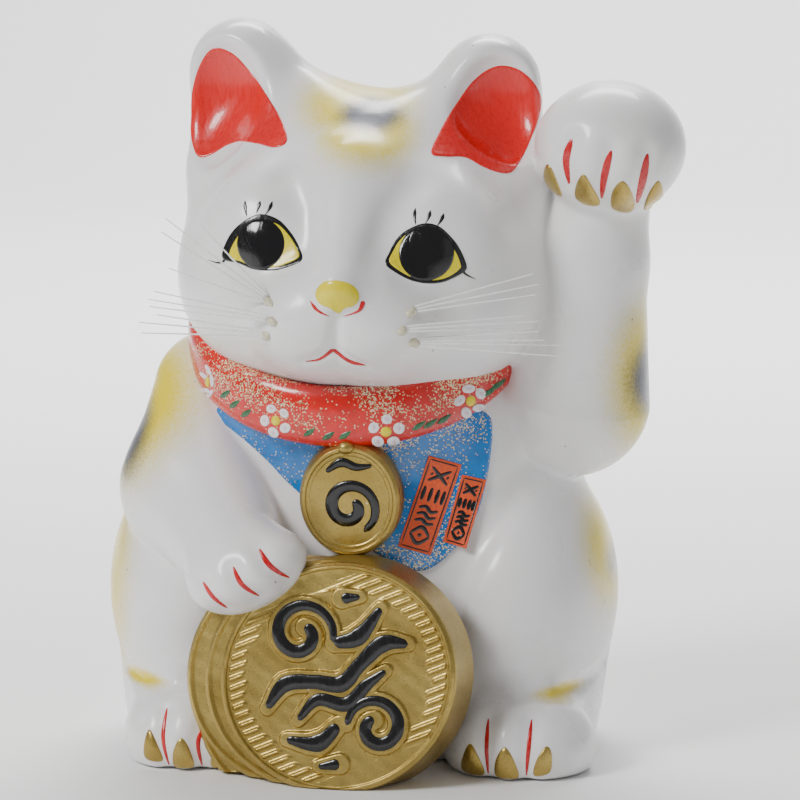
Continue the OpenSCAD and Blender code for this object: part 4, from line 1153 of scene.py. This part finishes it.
def medal_relief(share):
    """Two rim steps and a hollow field that swells slightly in its middle."""
    rim = 0.8*eased((share - 0.90)/0.03)*eased((1.01 - share)/0.03)
    return rim + 0.35*eased((share - 0.82)/0.03) + 0.5*(1 - share**2)


t = 2*np.pi*np.arange(240)/240
share = np.concatenate([np.linspace(0.02, 0.8, 24), np.linspace(0.81, 1.0, 26)])[:, None]
face = medal_place(share*MEDAL_HALF[0]*np.cos(t), -medal_relief(share), share*MEDAL_HALF[1]*np.sin(t))
deep = np.array([0.2, 0.7, 1.5, 2.6, 3.0, 3.4, 4.4, 6.0, 8.0, MEDAL_DEPTH])[:, None]
grow = np.array([0.35, 0.75, 1.0, 1.05, 0.75, 1.05, 1.3, 1.5, 1.7, 1.0])[:, None]
wall = medal_place((MEDAL_HALF[0] + grow)*np.cos(t), deep, (MEDAL_HALF[1] + grow)*np.sin(t))
knob_t, knob_s = np.meshgrid(2*np.pi*np.arange(24)/24, np.linspace(0.05, 0.95, 14)*np.pi)
knob = np.stack([np.sin(knob_s)*np.cos(knob_t)*3.2, np.sin(knob_s)*np.sin(knob_t)*2.6, np.cos(knob_s)*2.6], -1)
knob_place = medal_place(-1.0, -0.4, MEDAL_HALF[1] - 0.4)
plate = loft(np.concatenate([face, wall]))
piece("medallion_plate", [plate, loft(knob + knob_place)], gold, "gold_paint", "medallion")


def on_medal(u, v):
    """Skin of the medallion's face for strokes."""
    share = np.hypot(u/MEDAL_HALF[0], v/MEDAL_HALF[1])
    out = np.broadcast_to(medal_axes @ (0, -1.0, 0), (*np.shape(u), 3))
    return medal_place(u, -medal_relief(share), v), out


brush = [stroke(line, widths, on_medal, 0.8, 0.4, 48, 14) for line, widths in MEDAL_STROKES]
piece("medallion_brushwork", brush, black_enamel, "black_enamel", "medallion_ornament")

# %% [markdown]
# ## Whisker roots
# The nylon bristles come from the frame. A lump of clear yellowish glue, never quite round, holds each tuft.

# %% Glue
HOLES = {"left_upper": (-26, 187), "left_middle": (-24, 180), "left_lower": (-27, 174),
         "right_upper": (29, 184), "right_middle": (26, 177), "right_lower": (30, 172)}
for name, (x, z) in HOLES.items():
    wobble = 1 + 0.18*chance.standard_normal(9)
    t = 2*np.pi*np.arange(9)/9
    outline = np.stack([x + 2.0*wobble*np.cos(t), z + 1.8*wobble*np.sin(t)], -1)
    lump = patch(closed_curve(outline, 40), on_head, 0.5, 1.2, 1.0, 9)
    piece(f"glue_lump_{name}", [lump], glue, "glue", f"glue_bead_{name}")

# %% [markdown]
# ## Floor, light and camera
# A white sheet sweeps up behind the cat. A large soft light stands to the upper left in front, a weak one to
# the right, and the camera looks from a little to the right and above, through a long lens.

# %% Stage
SWEEP_START, SWEEP_RADIUS, SWEEP_HALF = 2.4, 0.8, 6.0
bend = np.linspace(0, np.pi/2, 16)
profile = np.concatenate([[(-5.0, 0.0)], np.stack([SWEEP_START + SWEEP_RADIUS*np.sin(bend),
                                                   SWEEP_RADIUS*(1 - np.cos(bend))], -1),
                          [(SWEEP_START + SWEEP_RADIUS, 6.0)]])
sheet_points = [(x, y, z - 0.0005) for y, z in profile for x in (-SWEEP_HALF, SWEEP_HALF)]
sheet_faces = [(2*i, 2*i + 1, 2*i + 3, 2*i + 2) for i in range(len(profile) - 1)]
sheet = bpy.data.meshes.new("studio_sheet")
sheet.from_pydata(sheet_points, [], sheet_faces)
sheet.polygons.foreach_set("use_smooth", [True]*len(sheet.polygons))
backdrop = bpy.data.objects.new("studio_sheet", sheet)
bpy.context.scene.collection.objects.link(backdrop)
matt_white = {"Base Color": (0.93, 0.93, 0.93, 1), "Roughness": 0.9}
backdrop_white, tree, shader, place = begin("studio_white", matt_white)
sheet.materials.append(backdrop_white)


def lamp(name, place, size, power, at=(0.0, 0.0, 0.14)):
    """A square soft light, aimed at the middle of the cat unless told otherwise."""
    data = bpy.data.lights.new(name, "AREA")
    data.size, data.energy = size, power
    light = bpy.data.objects.new(name, data)
    light.location = place
    aim = np.array(at) - place
    light.rotation_euler = mathutils.Vector(aim).to_track_quat("-Z", "Y").to_euler()
    bpy.context.scene.collection.objects.link(light)


lamp("key", (-1.1, -1.2, 1.3), 0.6, 31)
lamp("top", (0.1, 1.1, 1.3), 0.7, 6)
lamp("fill", (1.4, -1.0, 0.4), 1.2, 1.0)
lamp("backdrop", (0.0, 1.3, 2.0), 1.4, 110, (0.0, 2.6, 0.1))
world = bpy.data.worlds.new("studio")
bpy.context.scene.world = world
world.use_nodes = True
world.node_tree.nodes["Background"].inputs["Color"].default_value = (1, 1, 1, 1)
world.node_tree.nodes["Background"].inputs["Strength"].default_value = 0.27

# %% Camera
AZIMUTH, ELEVATION, DISTANCE, LENS = 8.0, 8.0, 1.7, 188.2
target = mathutils.Vector((0.00983, 0.02058, 0.13526))
a, e = np.radians([AZIMUTH, ELEVATION])
back = mathutils.Vector((np.sin(a)*np.cos(e), -np.cos(a)*np.cos(e), np.sin(e)))
camera = bpy.data.objects.new("camera", bpy.data.cameras.new("camera"))
camera.data.lens = LENS
camera.data.sensor_width = 36.0
camera.location = target + DISTANCE*back
camera.rotation_euler = back.to_track_quat("Z", "Y").to_euler()
bpy.context.scene.collection.objects.link(camera)
bpy.context.scene.camera = camera
